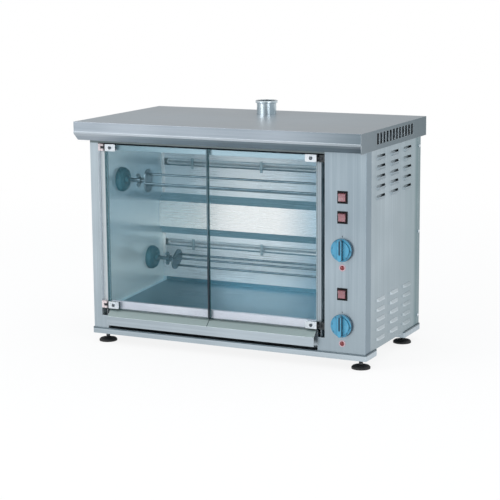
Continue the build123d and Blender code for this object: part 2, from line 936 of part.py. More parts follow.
def door_clips(edge_x, inward):
    # Two U-shaped clips with their ears and screws, as separate solids
    pivot_x = edge_x - inward * pivot_out
    solids = []
    for z in clip_z.values():
        with BuildPart() as clip:
            slab(
                edge_x - inward * web,
                edge_x + inward * (clip_width - web),
                clip_front_y,
                clip_rear_y,
                z - clip_height / 2,
                z + clip_height / 2,
            )
            chamfer(clip.edges().filter_by(Axis.Y), length=clip_corner)
            slab(
                edge_x,
                edge_x + inward * clip_width,
                front,
                glass_back,
                z - clip_height,
                z + clip_height,
                mode=Mode.SUBTRACT,
            )
            # Ear
            slab(
                pivot_x,
                edge_x - inward * web,
                pivot_y - ear_depth / 2,
                pivot_y + ear_depth / 2,
                z - ear_height / 2,
                z + ear_height / 2,
            )
            with Locations((pivot_x, pivot_y, z)):
                Cylinder(knuckle_radius, ear_height)
                Cylinder(pin_radius + shaft_gap, 2 * ear_height, mode=Mode.SUBTRACT)
            with BuildSketch(facing_front(clip_rear_y)):
                with Locations((edge_x + inward * clip_screw_setin, z)):
                    Circle(screw_shank + screw_gap)
            extrude(amount=clip_rear_y - clip_front_y, mode=Mode.SUBTRACT)
        solids.append(clip.part)
        with BuildPart() as screw:
            with BuildSketch(facing_front(clip_front_y)):
                with Locations((edge_x + inward * clip_screw_setin, z)):
                    Circle(screw_head_radius)
            extrude(amount=screw_head_height)
            with BuildSketch(facing_front(clip_rear_y)):
                with Locations((edge_x + inward * clip_screw_setin, z)):
                    Circle(screw_shank)
            extrude(amount=clip_rear_y - clip_front_y)
        solids.append(screw.part)
    return Compound(children=solids)


def hinge_blocks(edge_x, inward, wall_x):
    # Frame blocks: a base against the post and a knuckle above and below each ear
    pivot_x = edge_x - inward * pivot_out
    base_x = pivot_x - inward * (knuckle_radius + knuckle_clear)
    solids = []
    for z in clip_z.values():
        with BuildPart() as block:
            slab(
                wall_x,
                base_x,
                front,
                front + hinge_block_depth,
                z - clip_height / 2,
                z + clip_height / 2,
            )
            for side in (-1, 1):
                low = z + side * (ear_height / 2 + ear_gap)
                high = z + side * clip_height / 2
                slab(base_x, pivot_x, pivot_y - knuckle_web, pivot_y + knuckle_radius, low, high)
                with Locations((pivot_x, pivot_y, (low + high) / 2)):
                    Cylinder(knuckle_radius, abs(high - low))
            with Locations((pivot_x, pivot_y, z)):
                Cylinder(pin_radius, 2 * clip_height, mode=Mode.SUBTRACT)
        solids.append(block.part)
    return Compound(children=solids)


post_x = {"left": opening_left, "right": opening_right}
for side, (edge_x, inward) in door_sides.items():
    pane = door_glass(edge_x, inward)
    pane.part.label = f"{side}_door_glass"
    export_step(pane.part, f"parts/{side}_door_glass.step")
    clips = door_clips(edge_x, inward)
    clips.label = f"{side}_door_clips"
    export_step(clips, f"parts/{side}_door_clips.step")
    blocks = hinge_blocks(edge_x, inward, post_x[side])
    blocks.label = f"{side}_hinge_blocks"
    export_step(blocks, f"parts/{side}_hinge_blocks.step")

with BuildPart() as hinge_pins:
    for edge_x, inward in door_sides.values():
        for z in clip_z.values():
            with Locations((edge_x - inward * pivot_out, pivot_y, z)):
                Cylinder(pin_radius, clip_height)
hinge_pins.part.label = "hinge_pins"
export_step(hinge_pins.part, "parts/hinge_pins.step")

# Seal strip on the meeting edge of the left pane
seal_wall = 1.2
seal_reach = 3.0
seam_left = door_centre - seam_gap / 2
with BuildPart() as door_seal:
    slab(
        seam_left - seal_reach,
        seam_left + seal_wall,
        front - seal_wall,
        glass_back + seal_wall,
        glass_bottom,
        glass_top,
    )
    slab(
        seam_left - seal_reach,
        seam_left,
        front,
        glass_back,
        glass_bottom - seal_wall,
        glass_top + seal_wall,
        mode=Mode.SUBTRACT,
    )
door_seal.part.label = "door_seal"
export_step(door_seal.part, "parts/door_seal.step")

# Spits: two end plates joined by three rods, with a round journal and a square drive end
plate_thickness = 4.0
left_plate_setin = 80.0
right_plate_setin = 40.0
journal_end_gap = 4.0
drive_end_gap = 6.0
left_plate_x = inner_left + left_plate_setin
right_plate_x = inner_right - right_plate_setin
journal_end = inner_left + journal_end_gap
drive_end = inner_right - drive_end_gap
square_side = 10.0
rod_count = 3
rod_turn = {"upper": 75.0, "lower": 40.0}
plate_turn = {"upper": 90.0, "lower": 35.0}
plate_length = 62.0
plate_width = 40.0
cup_floor = 2.0              # left behind the blind bore
cup_rim = 7.0                # straight part of the cup's side
cup_bevel = 4.0
cup_face = 20.5              # radius of the flat face
boss_radius = 11.0
boss_length = 7.0
boss_draft = 2.0
wing_setin = 56.0
hub_radius = 9.0
hub_length = 12.0
hub_bevel = 1.5
wing_span = 36.0
wing_thickness = 4.0
wing_tip = 6.0               # length of a wing's blunt end
wing_sweep = 4.0             # how far the wings lean towards the cup
wing_x = inner_left + wing_setin


def make_spit(spit_y, z, turn, slant):
    with BuildPart() as spit:
        for plate_x in (left_plate_x, right_plate_x):
            with BuildSketch(across(plate_x)):
                with Locations((spit_y, z)):
                    SlotOverall(plate_length, plate_width, rotation=slant)
            extrude(amount=plate_thickness)
        for k in range(rod_count):
            angle = radians(turn + 360 * k / rod_count)
            rod_y = spit_y + rod_circle * cos(angle)
            rod_z = z + rod_circle * sin(angle)
            with BuildSketch(across(left_plate_x)):
                with Locations((rod_y, rod_z)):
                    Circle(rod_radius)
            extrude(amount=right_plate_x - left_plate_x + plate_thickness)
        with BuildSketch(across(journal_end)):
            with Locations((spit_y, z)):
                Circle(shaft_radius)
        extrude(amount=left_plate_x - journal_end)
        with BuildSketch(across(right_plate_x)):
            with Locations((spit_y, z)):
                Rectangle(square_side, square_side)
        extrude(amount=drive_end - right_plate_x)
    return spit


def make_bearing_cup(spit_y, z):
    # Round cast housing on the left wall, bored for the journal
    with BuildPart() as cup:
        with BuildSketch(Plane.XY.offset(z)):
            with BuildLine():
                Polyline(
                    (inner_left, spit_y),
                    (inner_left, spit_y + cup_radius),
                    (inner_left + cup_rim, spit_y + cup_radius),
                    (inner_left + cup_depth - cup_bevel, spit_y + cup_radius - cup_bevel),
                    (inner_left + cup_depth, spit_y + cup_face),
                    (inner_left + cup_depth, spit_y + boss_radius),
                    (inner_left + cup_depth + boss_length, spit_y + boss_radius - boss_draft),
                    (inner_left + cup_depth + boss_length, spit_y),
                    close=True,
                )
            make_face()
        revolve(axis=Axis((0, spit_y, z), (1, 0, 0)))
        with BuildSketch(across(inner_left + cup_floor)):
            with Locations((spit_y, z)):
                Circle(shaft_radius + shaft_gap)
        extrude(amount=2 * cup_depth, mode=Mode.SUBTRACT)
    return cup


def make_wing_nut(spit_y, z):
    # Clamping nut on the journal, its two wings swept outwards from a round hub
    with BuildPart() as wing_nut:
        with BuildSketch(across(wing_x - hub_length / 2)):
            with Locations((spit_y, z)):
                Circle(hub_radius)
        extrude(amount=hub_length)
        chamfer(wing_nut.edges().sort_by(Axis.X)[0], length=hub_bevel)
        with BuildSketch(facing_front(spit_y + wing_thickness / 2)):
            for side in (-1, 1):
                with BuildLine():
                    root = z + side * hub_radius / 2
                    tip = z + side * wing_span / 2
                    shoulder = tip - side * wing_tip
                    Polyline(
                        (wing_x - hub_length / 2 + 1, root),
                        (wing_x + hub_length / 2 - 1, root),
                        (wing_x + wing_tip - wing_sweep, shoulder),
                        (wing_x + wing_tip / 2 - wing_sweep, tip),
                        (wing_x - wing_tip / 2 - wing_sweep, tip),
                        (wing_x - wing_tip - wing_sweep, shoulder),
                        close=True,
                    )
                make_face()
        extrude(amount=wing_thickness)
        with BuildSketch(across(wing_x - hub_length)):
            with Locations((spit_y, z)):
                Circle(shaft_radius)
        extrude(amount=2 * hub_length, mode=Mode.SUBTRACT)
    return wing_nut


# Gear motors: gearbox on the right wall, motor behind it, and a drive socket on the output shaft
socket_length = 18.0         # inside the chamber
socket_bore = 12.0
output_radius = 6.0
output_length = 14.0         # inside the gearbox
output_end_gap = 1.0
gearbox_size = 62.0
gearbox_corner = 5.0
gearbox_depth = 34.0
motor_radius = 26.0
motor_length = 52.0
motor_edge = 3.0
motor_rise = 4.0             # motor axis above the output shaft
bracket_sheet = 2.0
bracket_side_margin = 12.0
bracket_end_margin = 4.0
gearbox_x = wall_right + bracket_sheet


def make_drive_socket(spit_y, z):
    with BuildPart() as socket:
        with BuildSketch(across(inner_right - socket_length)):
            with Locations((spit_y, z)):
                Circle(socket_radius)
        extrude(amount=socket_length + liner_sheet + bracket_sheet - running_gap)
        with BuildSketch(across(inner_right - socket_length)):
            with Locations((spit_y, z)):
                Rectangle(square_side, square_side)
        extrude(amount=socket_bore, mode=Mode.SUBTRACT)
        with BuildSketch(across(inner_right)):
            with Locations((spit_y, z)):
                Circle(output_radius)
        extrude(amount=liner_sheet + bracket_sheet + output_length)
    return socket


def make_gear_motor(spit_y, z):
    with BuildPart() as motor:
        slab(
            gearbox_x,
            gearbox_x + gearbox_depth,
            spit_y - gearbox_size / 2,
            spit_y + gearbox_size / 2,
            z - gearbox_size / 2,
            z + gearbox_size / 2,
        )
        chamfer(motor.edges().filter_by(Axis.X), length=gearbox_corner)
        with BuildSketch(across(gearbox_x + gearbox_depth)):
            with Locations((spit_y, z + motor_rise)):
                Circle(motor_radius)
        extrude(amount=motor_length)
        chamfer(motor.edges().sort_by(Axis.X)[-1], length=motor_edge)
        with BuildSketch(across(gearbox_x)):
            with Locations((spit_y, z)):
                Circle(output_radius + shaft_gap)
        extrude(amount=output_length + output_end_gap, mode=Mode.SUBTRACT)
    return motor


for tier, axis in spit_axes.items():
    cup = make_bearing_cup(*axis)
    cup.part.label = f"{tier}_bearing_cup"
    export_step(cup.part, f"parts/{tier}_bearing_cup.step")
    spit = make_spit(*axis, rod_turn[tier], plate_turn[tier])
    spit.part.label = f"{tier}_spit"
    export_step(spit.part, f"parts/{tier}_spit.step")
    wing_nut = make_wing_nut(*axis)
    wing_nut.part.label = f"{tier}_wing_nut"
    export_step(wing_nut.part, f"parts/{tier}_wing_nut.step")
    socket = make_drive_socket(*axis)
    socket.part.label = f"{tier}_drive_socket"
    export_step(socket.part, f"parts/{tier}_drive_socket.step")
    motor = make_gear_motor(*axis)
    motor.part.label = f"{tier}_gear_motor"
    export_step(motor.part, f"parts/{tier}_gear_motor.step")

# Motor mounting plates, one for each gear motor, on the outside of the right chamber wall
with BuildPart() as motor_brackets:
    for spit_y, z in spit_axes.values():
        slab(
            wall_right,
            wall_right + bracket_sheet,
            spit_y - gearbox_size / 2 - bracket_side_margin,
            spit_y + gearbox_size / 2 + bracket_side_margin,
            z - gearbox_size / 2 - bracket_end_margin,
            z + gearbox_size / 2 + bracket_end_margin,
        )
        with Locations(Location((wall_right, spit_y, z), (0, 90, 0))):
            Cylinder(socket_radius + socket_clear, 4 * bracket_sheet, mode=Mode.SUBTRACT)
motor_brackets.part.label = "motor_brackets"
export_step(motor_brackets.part, "parts/motor_brackets.step")

# Heating elements: armoured hairpins in the troughs, with both ends through the right wall
ceramic_length = 24.0
ceramic_radius = element_radius + 0.7
terminal_pin_radius = 1.5
terminal_pin_length = 9.0
element_left = inner_left + 20.0
element_right = inner_right - 8.0
for tier, z in element_z.items():
    with BuildPart() as heating_element:
        with BuildLine():
            upper_leg = Line(
                (element_right, element_y, z + leg_spacing / 2),
                (element_left, element_y, z + leg_spacing / 2),
            )
            bend = ThreePointArc(
                upper_leg @ 1,
                (element_left - leg_spacing / 2, element_y, z),
                (element_left, element_y, z - leg_spacing / 2),
            )
            Line(bend @ 1, (element_right, element_y, z - leg_spacing / 2))
        with BuildSketch(Plane(origin=upper_leg @ 0, z_dir=(-1, 0, 0))):
            Circle(element_radius)
        sweep()
        # Ceramic ends with their terminal pins, past the end of the trough
        for leg in (-1, 1):
            with BuildSketch(across(element_right)):
                with Locations((element_y, z + leg * leg_spacing / 2)):
                    Circle(ceramic_radius)
            extrude(amount=ceramic_length)
            with BuildSketch(across(element_right + ceramic_length)):
                with Locations((element_y, z + leg * leg_spacing / 2)):
                    Circle(terminal_pin_radius)
            extrude(amount=terminal_pin_length)
    heating_element.part.label = f"{tier}_heating_element"
    export_step(heating_element.part, f"parts/{tier}_heating_element.step")

# Spring clips that hold the elements in their troughs
spring_clip_setin = 97.5     # of the outer clips from the side walls
spring_clip_width = 8.0
spring_clip_sheet = 1.2
spring_clip_foot = 8.0       # lap on the wall below the trough
spring_clip_tip = 3.0        # lap above it
clip_spots = [
    inner_left + spring_clip_setin,
    (inner_left + inner_right) / 2,
    inner_right - spring_clip_setin,
]
with BuildPart() as element_clips:
    for z in element_z.values():
        for x in clip_spots:
            slab(
                x - spring_clip_width / 2,
                x + spring_clip_width / 2,
                back_y - spring_clip_sheet,
                back_y,
                z - trough_height / 2 - spring_clip_foot,
                z + trough_height / 2 + spring_clip_tip,
            )
element_clips.part.label = "element_clips"
export_step(element_clips.part, "parts/element_clips.step")

# Rocker switches: a black snap-in housing with a lit rocker
bezel_depth = 2.5
bezel_edge = 1.2
bezel_border = 4.5           # width of the bezel round the rocker
rocker_end_gap = 1.0         # room above and below the rocker to tilt
rocker_slack = 0.6
rocker_axis_setback = 4.0
rocker_reach = 13.0          # from the axis to the face of the rocker
rocker_waist = 7.0           # from that face back to the widest part
rocker_dish = 3.4            # depth of the valley in the face
rocker_step = 2.2            # how much lower the pressed half stands
rocker_nose = 1.4
rocker_back = 4.0
rocker_back_half = 5.0
housing_depth = 24.0
housing_floor = 4.0
rocker_width = bezel_width - 2 * bezel_border
rocker_height = bezel_height - 2 * bezel_border
rocker_axis_y = front + rocker_axis_setback
housing_inset = bezel_cover + running_gap
for switch_number, height in enumerate(switch_heights, start=1):
    z = rail_top + height
    with BuildPart() as switch_housing:
        slab(
            control_x - bezel_width / 2,
            control_x + bezel_width / 2,
            front - bezel_depth,
            front,
            z - bezel_height / 2,
            z + bezel_height / 2,
        )
        chamfer(switch_housing.faces().sort_by(Axis.Y)[0].edges(), length=bezel_edge)
        slab(
            control_x - bezel_width / 2 + housing_inset,
            control_x + bezel_width / 2 - housing_inset,
            front,
            front + housing_depth,
            z - bezel_height / 2 + housing_inset,
            z + bezel_height / 2 - housing_inset,
        )
        slab(
            control_x - rocker_width / 2 - running_gap,
            control_x + rocker_width / 2 + running_gap,
            front - bezel_depth,
            front + housing_depth - housing_floor,
            z - rocker_height / 2 - rocker_end_gap,
            z + rocker_height / 2 + rocker_end_gap,
            mode=Mode.SUBTRACT,
        )
    switch_housing.part.label = f"switch_housing_{switch_number}"
    export_step(switch_housing.part, f"parts/switch_housing_{switch_number}.step")
    with BuildPart() as switch_rocker:
        # Side view: two flat faces that meet in a shallow valley, on a round back
        with BuildSketch(across(control_x - rocker_width / 2)):
            with BuildLine():
                half = rocker_height / 2 - rocker_slack
                face_y = rocker_axis_y - rocker_reach
                Polyline(
                    (face_y, z + half - rocker_nose),
                    (face_y + rocker_dish, z),
                    (face_y + rocker_step, z - half + rocker_nose),
                    (face_y + rocker_waist, z - half),
                    (rocker_axis_y + rocker_back, z - rocker_back_half),
                    (rocker_axis_y + rocker_back, z + rocker_back_half),
                    (face_y + rocker_waist, z + half),
                    close=True,
                )
            make_face()
        extrude(amount=rocker_width)
    switch_rocker.part.label = f"switch_rocker_{switch_number}"
    export_step(switch_rocker.part, f"parts/switch_rocker_{switch_number}.step")

# Thermostats behind the panel, and their knobs
spindle_radius = 3.0
thermostat_size = 42.0
thermostat_depth = 30.0
thermostat_corner = 3.0
spindle_length = 14.0        # inside the thermostat
spindle_end_gap = 2.0
knob_clear = 1.5
skirt_height = 6.0
skirt_bevel = 2.0
step_height = 4.0
step_setin = 7.0
grip_width = 12.0
grip_setin = 2.0
grip_bevel = 1.0
for number, height in enumerate(knob_heights, start=1):
    z = rail_top + height
    with BuildPart() as thermostat:
        slab(
            control_x - thermostat_size / 2,
            control_x + thermostat_size / 2,
            front + casing_sheet,
            front + casing_sheet + thermostat_depth,
            z - thermostat_size / 2,
            z + thermostat_size / 2,
        )
        chamfer(thermostat.edges().filter_by(Axis.Y), length=thermostat_corner)
        with BuildSketch(facing_front(front + casing_sheet)):
            with Locations((control_x, z)):
                Circle(spindle_nose_radius)
                Circle(spindle_radius + shaft_gap, mode=Mode.SUBTRACT)
        extrude(amount=casing_sheet)
        with BuildSketch(facing_front(front + casing_sheet)):
            with Locations((control_x, z)):
                Circle(spindle_radius + shaft_gap)
        extrude(amount=-(spindle_length + spindle_end_gap), mode=Mode.SUBTRACT)
    thermostat.part.label = f"thermostat_{number}"
    export_step(thermostat.part, f"parts/thermostat_{number}.step")
    with BuildPart() as knob:
        with BuildSketch(facing_front(front - knob_clear)):
            with Locations((control_x, z)):
                Circle(knob_radius)
        extrude(amount=skirt_height)
        chamfer(knob.edges().sort_by(Axis.Y)[0], length=skirt_bevel)
        with BuildSketch(facing_front(front - knob_clear - skirt_height)):
            with Locations((control_x, z)):
                Circle(knob_radius - step_setin)
        extrude(amount=step_height)
        with BuildSketch(facing_front(front - knob_clear)):
            with Locations((control_x, z)):
                SlotOverall(2 * (knob_radius - grip_setin), grip_width, rotation=90)
        extrude(amount=knob_depth - knob_clear)
        chamfer(knob.edges().sort_by(Axis.Y)[0:2], length=grip_bevel)
        with BuildSketch(facing_front(front + casing_sheet + spindle_length)):
            with Locations((control_x, z)):
                Circle(spindle_radius)
        extrude(amount=casing_sheet + spindle_length + knob_clear)
    knob.part.label = f"thermostat_knob_{number}"
    export_step(knob.part, f"parts/thermostat_knob_{number}.step")

# Pilot lamps, domed
lamp_radius = 6.0
lamp_rim = 1.5
lamp_body = 22.0
dome_height = 3.0
dome_radius = (lamp_radius**2 + dome_height**2) / (2 * dome_height)
dome_angle = asin(lamp_radius / dome_radius)
for number, height in enumerate(lamp_heights, start=1):
    z = rail_top + height
    with BuildPart() as pilot_lamp:
        with BuildSketch(Plane.XY.offset(z)):
            with BuildLine():
                Polyline(
                    (control_x, front - lamp_rim - dome_height),
                    (control_x, front + lamp_body),
                    (control_x + lamp_body_radius, front + lamp_body),
                    (control_x + lamp_body_radius, front),
                    (control_x + lamp_radius, front),
                    (control_x + lamp_radius, front - lamp_rim),
                )
                ThreePointArc(
                    (control_x + lamp_radius, front - lamp_rim),
                    (
                        control_x + dome_radius * sin(dome_angle / 2),
                        front - lamp_rim - dome_height + dome_radius * (1 - cos(dome_angle / 2)),
                    ),
                    (control_x, front - lamp_rim - dome_height),
                )
            make_face()
        revolve(axis=Axis((control_x, 0, z), (0, 1, 0)))
    pilot_lamp.part.label = f"pilot_lamp_{number}"
    export_step(pilot_lamp.part, f"parts/pilot_lamp_{number}.step")

# Terminal block on the bottom panel and the cable gland in the rear panel
terminal_count = 5
terminal_pitch = 12.0
terminal_length = terminal_count * terminal_pitch
terminal_depth = 24.0
terminal_height = 20.0
terminal_hole = 3.2
terminal_y = rear - 48.0
with BuildPart() as terminal_block:
    slab(
        control_x - terminal_length / 2,
        control_x + terminal_length / 2,
        terminal_y - terminal_depth / 2,
        terminal_y + terminal_depth / 2,
        deck_z,
        deck_z + terminal_height,
    )
    with Locations((control_x, terminal_y, deck_z + terminal_height)):
        with GridLocations(terminal_pitch, 0, terminal_count, 1):
            Cylinder(terminal_hole, terminal_height / 2, mode=Mode.SUBTRACT)
terminal_block.part.label = "terminal_block"
export_step(terminal_block.part, "parts/terminal_block.step")

gland_reach = 20.0           # of the cap behind the panel
gland_hex_radius = gland_radius + 4.0
gland_cap_radius = gland_radius + 1.0
gland_hex_height = 6.0
gland_nut_height = 5.0
gland_thread = 7.0           # inside the panel
gland_bore = 4.5
gland_cap_bevel = 2.0
with BuildPart() as cable_gland:
    with BuildSketch(facing_front(rear)):
        with Locations((gland_x, gland_z)):
            RegularPolygon(radius=gland_hex_radius, side_count=6)
    extrude(amount=-gland_hex_height)
    with BuildSketch(facing_front(rear + gland_hex_height)):
        with Locations((gland_x, gland_z)):
            Circle(gland_cap_radius)
    extrude(amount=gland_hex_height - gland_reach)
    chamfer(cable_gland.edges().sort_by(Axis.Y)[-1], length=gland_cap_bevel)
    with BuildSketch(facing_front(rear)):
        with Locations((gland_x, gland_z)):
            Circle(gland_radius)
    extrude(amount=casing_sheet + gland_thread)
    with BuildSketch(facing_front(rear - casing_sheet)):
        with Locations((gland_x, gland_z)):
            RegularPolygon(radius=gland_hex_radius, side_count=6)
    extrude(amount=gland_nut_height)
    with BuildSketch(facing_front(rear - casing_sheet - gland_thread)):
        with Locations((gland_x, gland_z)):
            Circle(gland_bore)
    extrude(amount=-(gland_reach + casing_sheet + gland_thread), mode=Mode.SUBTRACT)
cable_gland.part.label = "cable_gland"
export_step(cable_gland.part, "parts/cable_gland.step")

# Casing screws: pan heads along the rear panel and the sides
casing_screw_radius = 4.0
casing_screw_height = 2.0
casing_screw_setin = 12.0
screw_end_distance = 25.0
with BuildPart() as casing_screws:
    screw_rows = [rail_top + screw_end_distance, (rail_top + lip_z) / 2, lip_z - screw_end_distance]
    for z in screw_rows:
        with BuildSketch(facing_front(rear)):
            with Locations((body_left + casing_screw_setin, z), (body_right - casing_screw_setin, z)):
                Circle(casing_screw_radius)
        extrude(amount=-casing_screw_height)
    for z in screw_rows:
        for x, outward in ((body_left, -1), (body_right, 1)):
            with BuildSketch(across(x)):
                with Locations((rear - casing_screw_setin, z)):
                    Circle(casing_screw_radius)
            extrude(amount=outward * casing_screw_height)
casing_screws.part.label = "casing_screws"
export_step(casing_screws.part, "parts/casing_screws.step")
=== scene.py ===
import json
from math import cos, pi, radians, sin, sqrt

import bmesh
import bpy
from mathutils import Euler, Matrix, Vector


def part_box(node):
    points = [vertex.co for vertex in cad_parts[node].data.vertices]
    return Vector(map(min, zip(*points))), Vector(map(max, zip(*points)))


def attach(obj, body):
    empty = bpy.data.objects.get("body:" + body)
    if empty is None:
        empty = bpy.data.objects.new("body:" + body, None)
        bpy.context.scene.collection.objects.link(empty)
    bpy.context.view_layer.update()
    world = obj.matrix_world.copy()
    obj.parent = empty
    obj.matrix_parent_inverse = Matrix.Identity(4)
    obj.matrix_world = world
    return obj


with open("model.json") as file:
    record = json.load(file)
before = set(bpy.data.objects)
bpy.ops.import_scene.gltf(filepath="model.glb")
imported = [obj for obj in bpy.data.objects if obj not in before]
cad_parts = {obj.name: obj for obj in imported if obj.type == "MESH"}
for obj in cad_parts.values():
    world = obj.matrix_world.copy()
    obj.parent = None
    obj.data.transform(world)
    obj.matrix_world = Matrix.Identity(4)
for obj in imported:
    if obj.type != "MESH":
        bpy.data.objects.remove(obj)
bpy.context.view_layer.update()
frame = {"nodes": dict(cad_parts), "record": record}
nodes = frame["nodes"]
slotOf = {part["node"]: part["material_slot"] for part in frame["record"]["subparts"]}
print("frame loaded:", len(nodes), "nodes")

scene = bpy.context.scene
scene.view_settings.view_transform = "Standard"


# camera: stands right of the middle and a little above the hood, with a long lens
cameraSetup = {
    "place": (1.8006, -3.7463, 1.0210),
    "turn": 25.75,      # degrees to the left of straight ahead
    "dip": 10.54,       # degrees below the horizon
    "roll": -0.47,
    "lens": 114.5,
    "sensor": 36.0,
    "farClip": 100.0,
}


def makeCamera(setup):
    data = bpy.data.cameras.new("camera")
    data.lens = setup["lens"]
    data.sensor_width = setup["sensor"]
    data.clip_end = setup["farClip"]
    camera = bpy.data.objects.new("camera", data)
    scene.collection.objects.link(camera)
    aim = Euler((radians(90 - setup["dip"]), 0, radians(setup["turn"])), "XYZ").to_matrix()
    camera.matrix_world = Matrix.Translation(setup["place"]) @ (
        aim @ Matrix.Rotation(radians(setup["roll"]), 3, "Z")
    ).to_4x4()
    scene.camera = camera


makeCamera(cameraSetup)


# shader graphs: a Wire is one output socket, and sums on wires add Math nodes
class Wire:
    def __init__(self, graph, socket):
        self.graph = graph
        self.socket = socket

    def math(self, operation, first, second):
        return self.graph.add("Math", {"operation": operation}, {0: first, 1: second})

    def __add__(self, other):
        return self.math("ADD", self, other)

    def __radd__(self, other):
        return self.math("ADD", other, self)

    def __sub__(self, other):
        return self.math("SUBTRACT", self, other)

    def __rsub__(self, other):
        return self.math("SUBTRACT", other, self)

    def __mul__(self, other):
        return self.math("MULTIPLY", self, other)

    def __rmul__(self, other):
        return self.math("MULTIPLY", other, self)

    def __gt__(self, other):
        return self.math("GREATER_THAN", self, other)

    def __lt__(self, other):
        return self.math("LESS_THAN", self, other)

    def __abs__(self):
        return self.math("ABSOLUTE", self, 0.0)


class Graph:
    def __init__(self, tree):
        self.tree = tree
        tree.nodes.clear()

    def add(self, kind, settings=None, values=None, out=0):
        node = self.tree.nodes.new("ShaderNode" + kind)
        for key, value in (settings or {}).items():
            if key == "stops":
                self.setStops(node.color_ramp, value)
            else:
                setattr(node, key, value)
        for key, value in (values or {}).items():
            if isinstance(value, Wire):
                self.tree.links.new(value.socket, node.inputs[key])
            else:
                node.inputs[key].default_value = value
        if not node.outputs:
            return node
        return Wire(self, node.outputs[out])

    def setStops(self, ramp, stops):
        while len(ramp.elements) < len(stops):
            ramp.elements.new(0.5)
        for element, (position, tone) in zip(ramp.elements, stops):
            element.position = position
            element.color = tone

    def place(self):
        # object coordinates are those of the CAD, in metres
        return self.add("TexCoord", out="Object")

    def stretched(self, scale):
        return self.add("VectorMath", {"operation": "MULTIPLY"}, {0: self.place(), 1: scale})

    def noise(self, scale, stretch=(1, 1, 1), detail=3.0):
        return self.add(
            "TexNoise", None, {"Vector": self.stretched(stretch), "Scale": scale, "Detail": detail}
        )

    def soften(self, value, low, high):
        # 0 below low, 1 above high
        return self.add(
            "MapRange",
            {"interpolation_type": "SMOOTHSTEP"},
            {"Value": value, "From Min": low, "From Max": high},
        )

    def tint(self, factor, first, second):
        return self.add(
            "Mix", {"data_type": "RGBA"}, {"Factor": factor, 6: first, 7: second}, out=2
        )

    def coordinate(self, axis):
        return self.add("SeparateXYZ", None, {0: self.place()}, out=axis)

    def turn(self, axis):
        # one component of the face's direction, which turns with the part
        return self.add("SeparateXYZ", None, {0: self.add("TexCoord", out="Normal")}, out=axis)

    def facing(self, axis, low, high):
        # 1 on faces that look along an axis
        return self.soften(self.turn(axis), low, high)

    def between(self, axis, low, high):
        # 1 where the place along one axis is in a range, in metres
        place = self.coordinate(axis)
        return (place > low) * (place < high)

    def ramp(self, axis, low, high):
        # 0 before low and 1 past high along one axis, in metres
        return self.soften(self.coordinate(axis), low, high)

    def edgeShine(self, radius, low=0.01, high=0.25):
        # 1 on sharp edges and 0 on flats, from how far a rounded normal turns
        rounded = self.add("Bevel", {"samples": 4}, {"Radius": radius})
        flat = self.add("NewGeometry", out="Normal")
        turn = self.add("VectorMath", {"operation": "DOT_PRODUCT"}, {0: rounded, 1: flat}, out=1)
        return self.soften(1.0 - turn, low, high), rounded

    def marked(self, skin, marks):
        # marks are tones that a part takes in some places, each as (test, tone, share)
        for test, tone, share in marks:
            skin = self.tint(test(self) * share, skin, tone)
        return skin

    def bump(self, height, strength, normal=None, depth=0.0002):
        values = {"Strength": strength, "Distance": depth, "Height": height}
        if normal is not None:
            values["Normal"] = normal
        return self.add("Bump", None, values)


def colour(red, green, blue):
    # from the 0 to 255 values seen on screen to the linear ones that the shader takes
    def linear(value):
        value = value / 255
        return value / 12.92 if value < 0.04045 else ((value + 0.055) / 1.055) ** 2.4

    return (linear(red), linear(green), linear(blue), 1.0)


def newMaterial(name):
    material = bpy.data.materials.new(name)
    material.use_nodes = True
    return material, Graph(material.node_tree)


def finishSurface(graph, values):
    shader = graph.add("BsdfPrincipled", None, values)
    graph.add("OutputMaterial", None, {"Surface": shader})


# brushed stainless sheet of the casing, with its grain along one axis
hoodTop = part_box("hood")[1].z
hemLow, hemHigh = hoodTop - 0.0375, hoodTop - 0.0260
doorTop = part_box("left_door_glass")[1].z
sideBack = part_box("right_side_panel")[1].y
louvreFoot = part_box("right_side_panel")[1].x - 0.0042     # louvres stand out past this
louvreSplit = 0.32                                        # height between their two groups
seamX = (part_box("door_seal")[0].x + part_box("door_seal")[1].x) / 2
seamReflectionHalf = 0.0011                                          # half the width of the painted reflection of the door seam
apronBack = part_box("drip_tray")[0].y + 0.020              # the apron lies in front of this
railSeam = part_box("front_base_rail")[1].z - 0.0030        # painted shade along the top of the rail starts above this


def lowDown(graph):
    # 1 at the foot of a panel, gone 30 cm up
    return 1.0 - graph.ramp("Z", 0.03, 0.30)


def onTop(graph):
    return graph.facing("Z", 0.3, 0.6)


def onRightSide(graph):
    return graph.facing("X", 0.4, 0.9)


def onLouvres(graph):
    return graph.coordinate("X") > louvreFoot


steelLook = {
    "light": colour(184, 196, 204),
    "dark": colour(158, 171, 179),
    "edge": colour(222, 229, 234),
    "edgeShare": 0.6,
    "roughness": 0.36,
    "metallic": 0.86,
    "grainLength": 9.0,             # scale of the grain along the brush strokes
    "grainWidth": 1400.0,           # and across them
    "streakWidth": 9,               # in widths of the grain
    "cloudScale": 3.2,
    "smearScale": 11.0,
    "mix": (0.22, 0.30, 0.48),      # shares of grain, streaks and clouds
    "contrast": (0.36, 0.64),
    "bendRadius": 0.0012,
    "grainGloss": 0.16,             # how much grain and smears change the roughness
    "smearGloss": 0.14,
    "grainHeight": 0.22,
    "anisotropy": 0.35,
    "marks": (),
}
frameLook = dict(steelLook, marks=(
    # painted shade above the doors, and painted light on the return of the post
    (lambda graph: graph.between("Z", doorTop + 0.002, hoodTop), colour(92, 104, 106), 0.9),
    (onRightSide, colour(226, 234, 240), 0.9),
))
panelLook = dict(steelLook, light=colour(170, 184, 193), dark=colour(145, 160, 170), marks=(
    (lowDown, colour(142, 156, 164), 0.5),
    # painted shade on the return that faces right, at the corner fold
    (onRightSide, colour(120, 138, 150), 0.85),
))
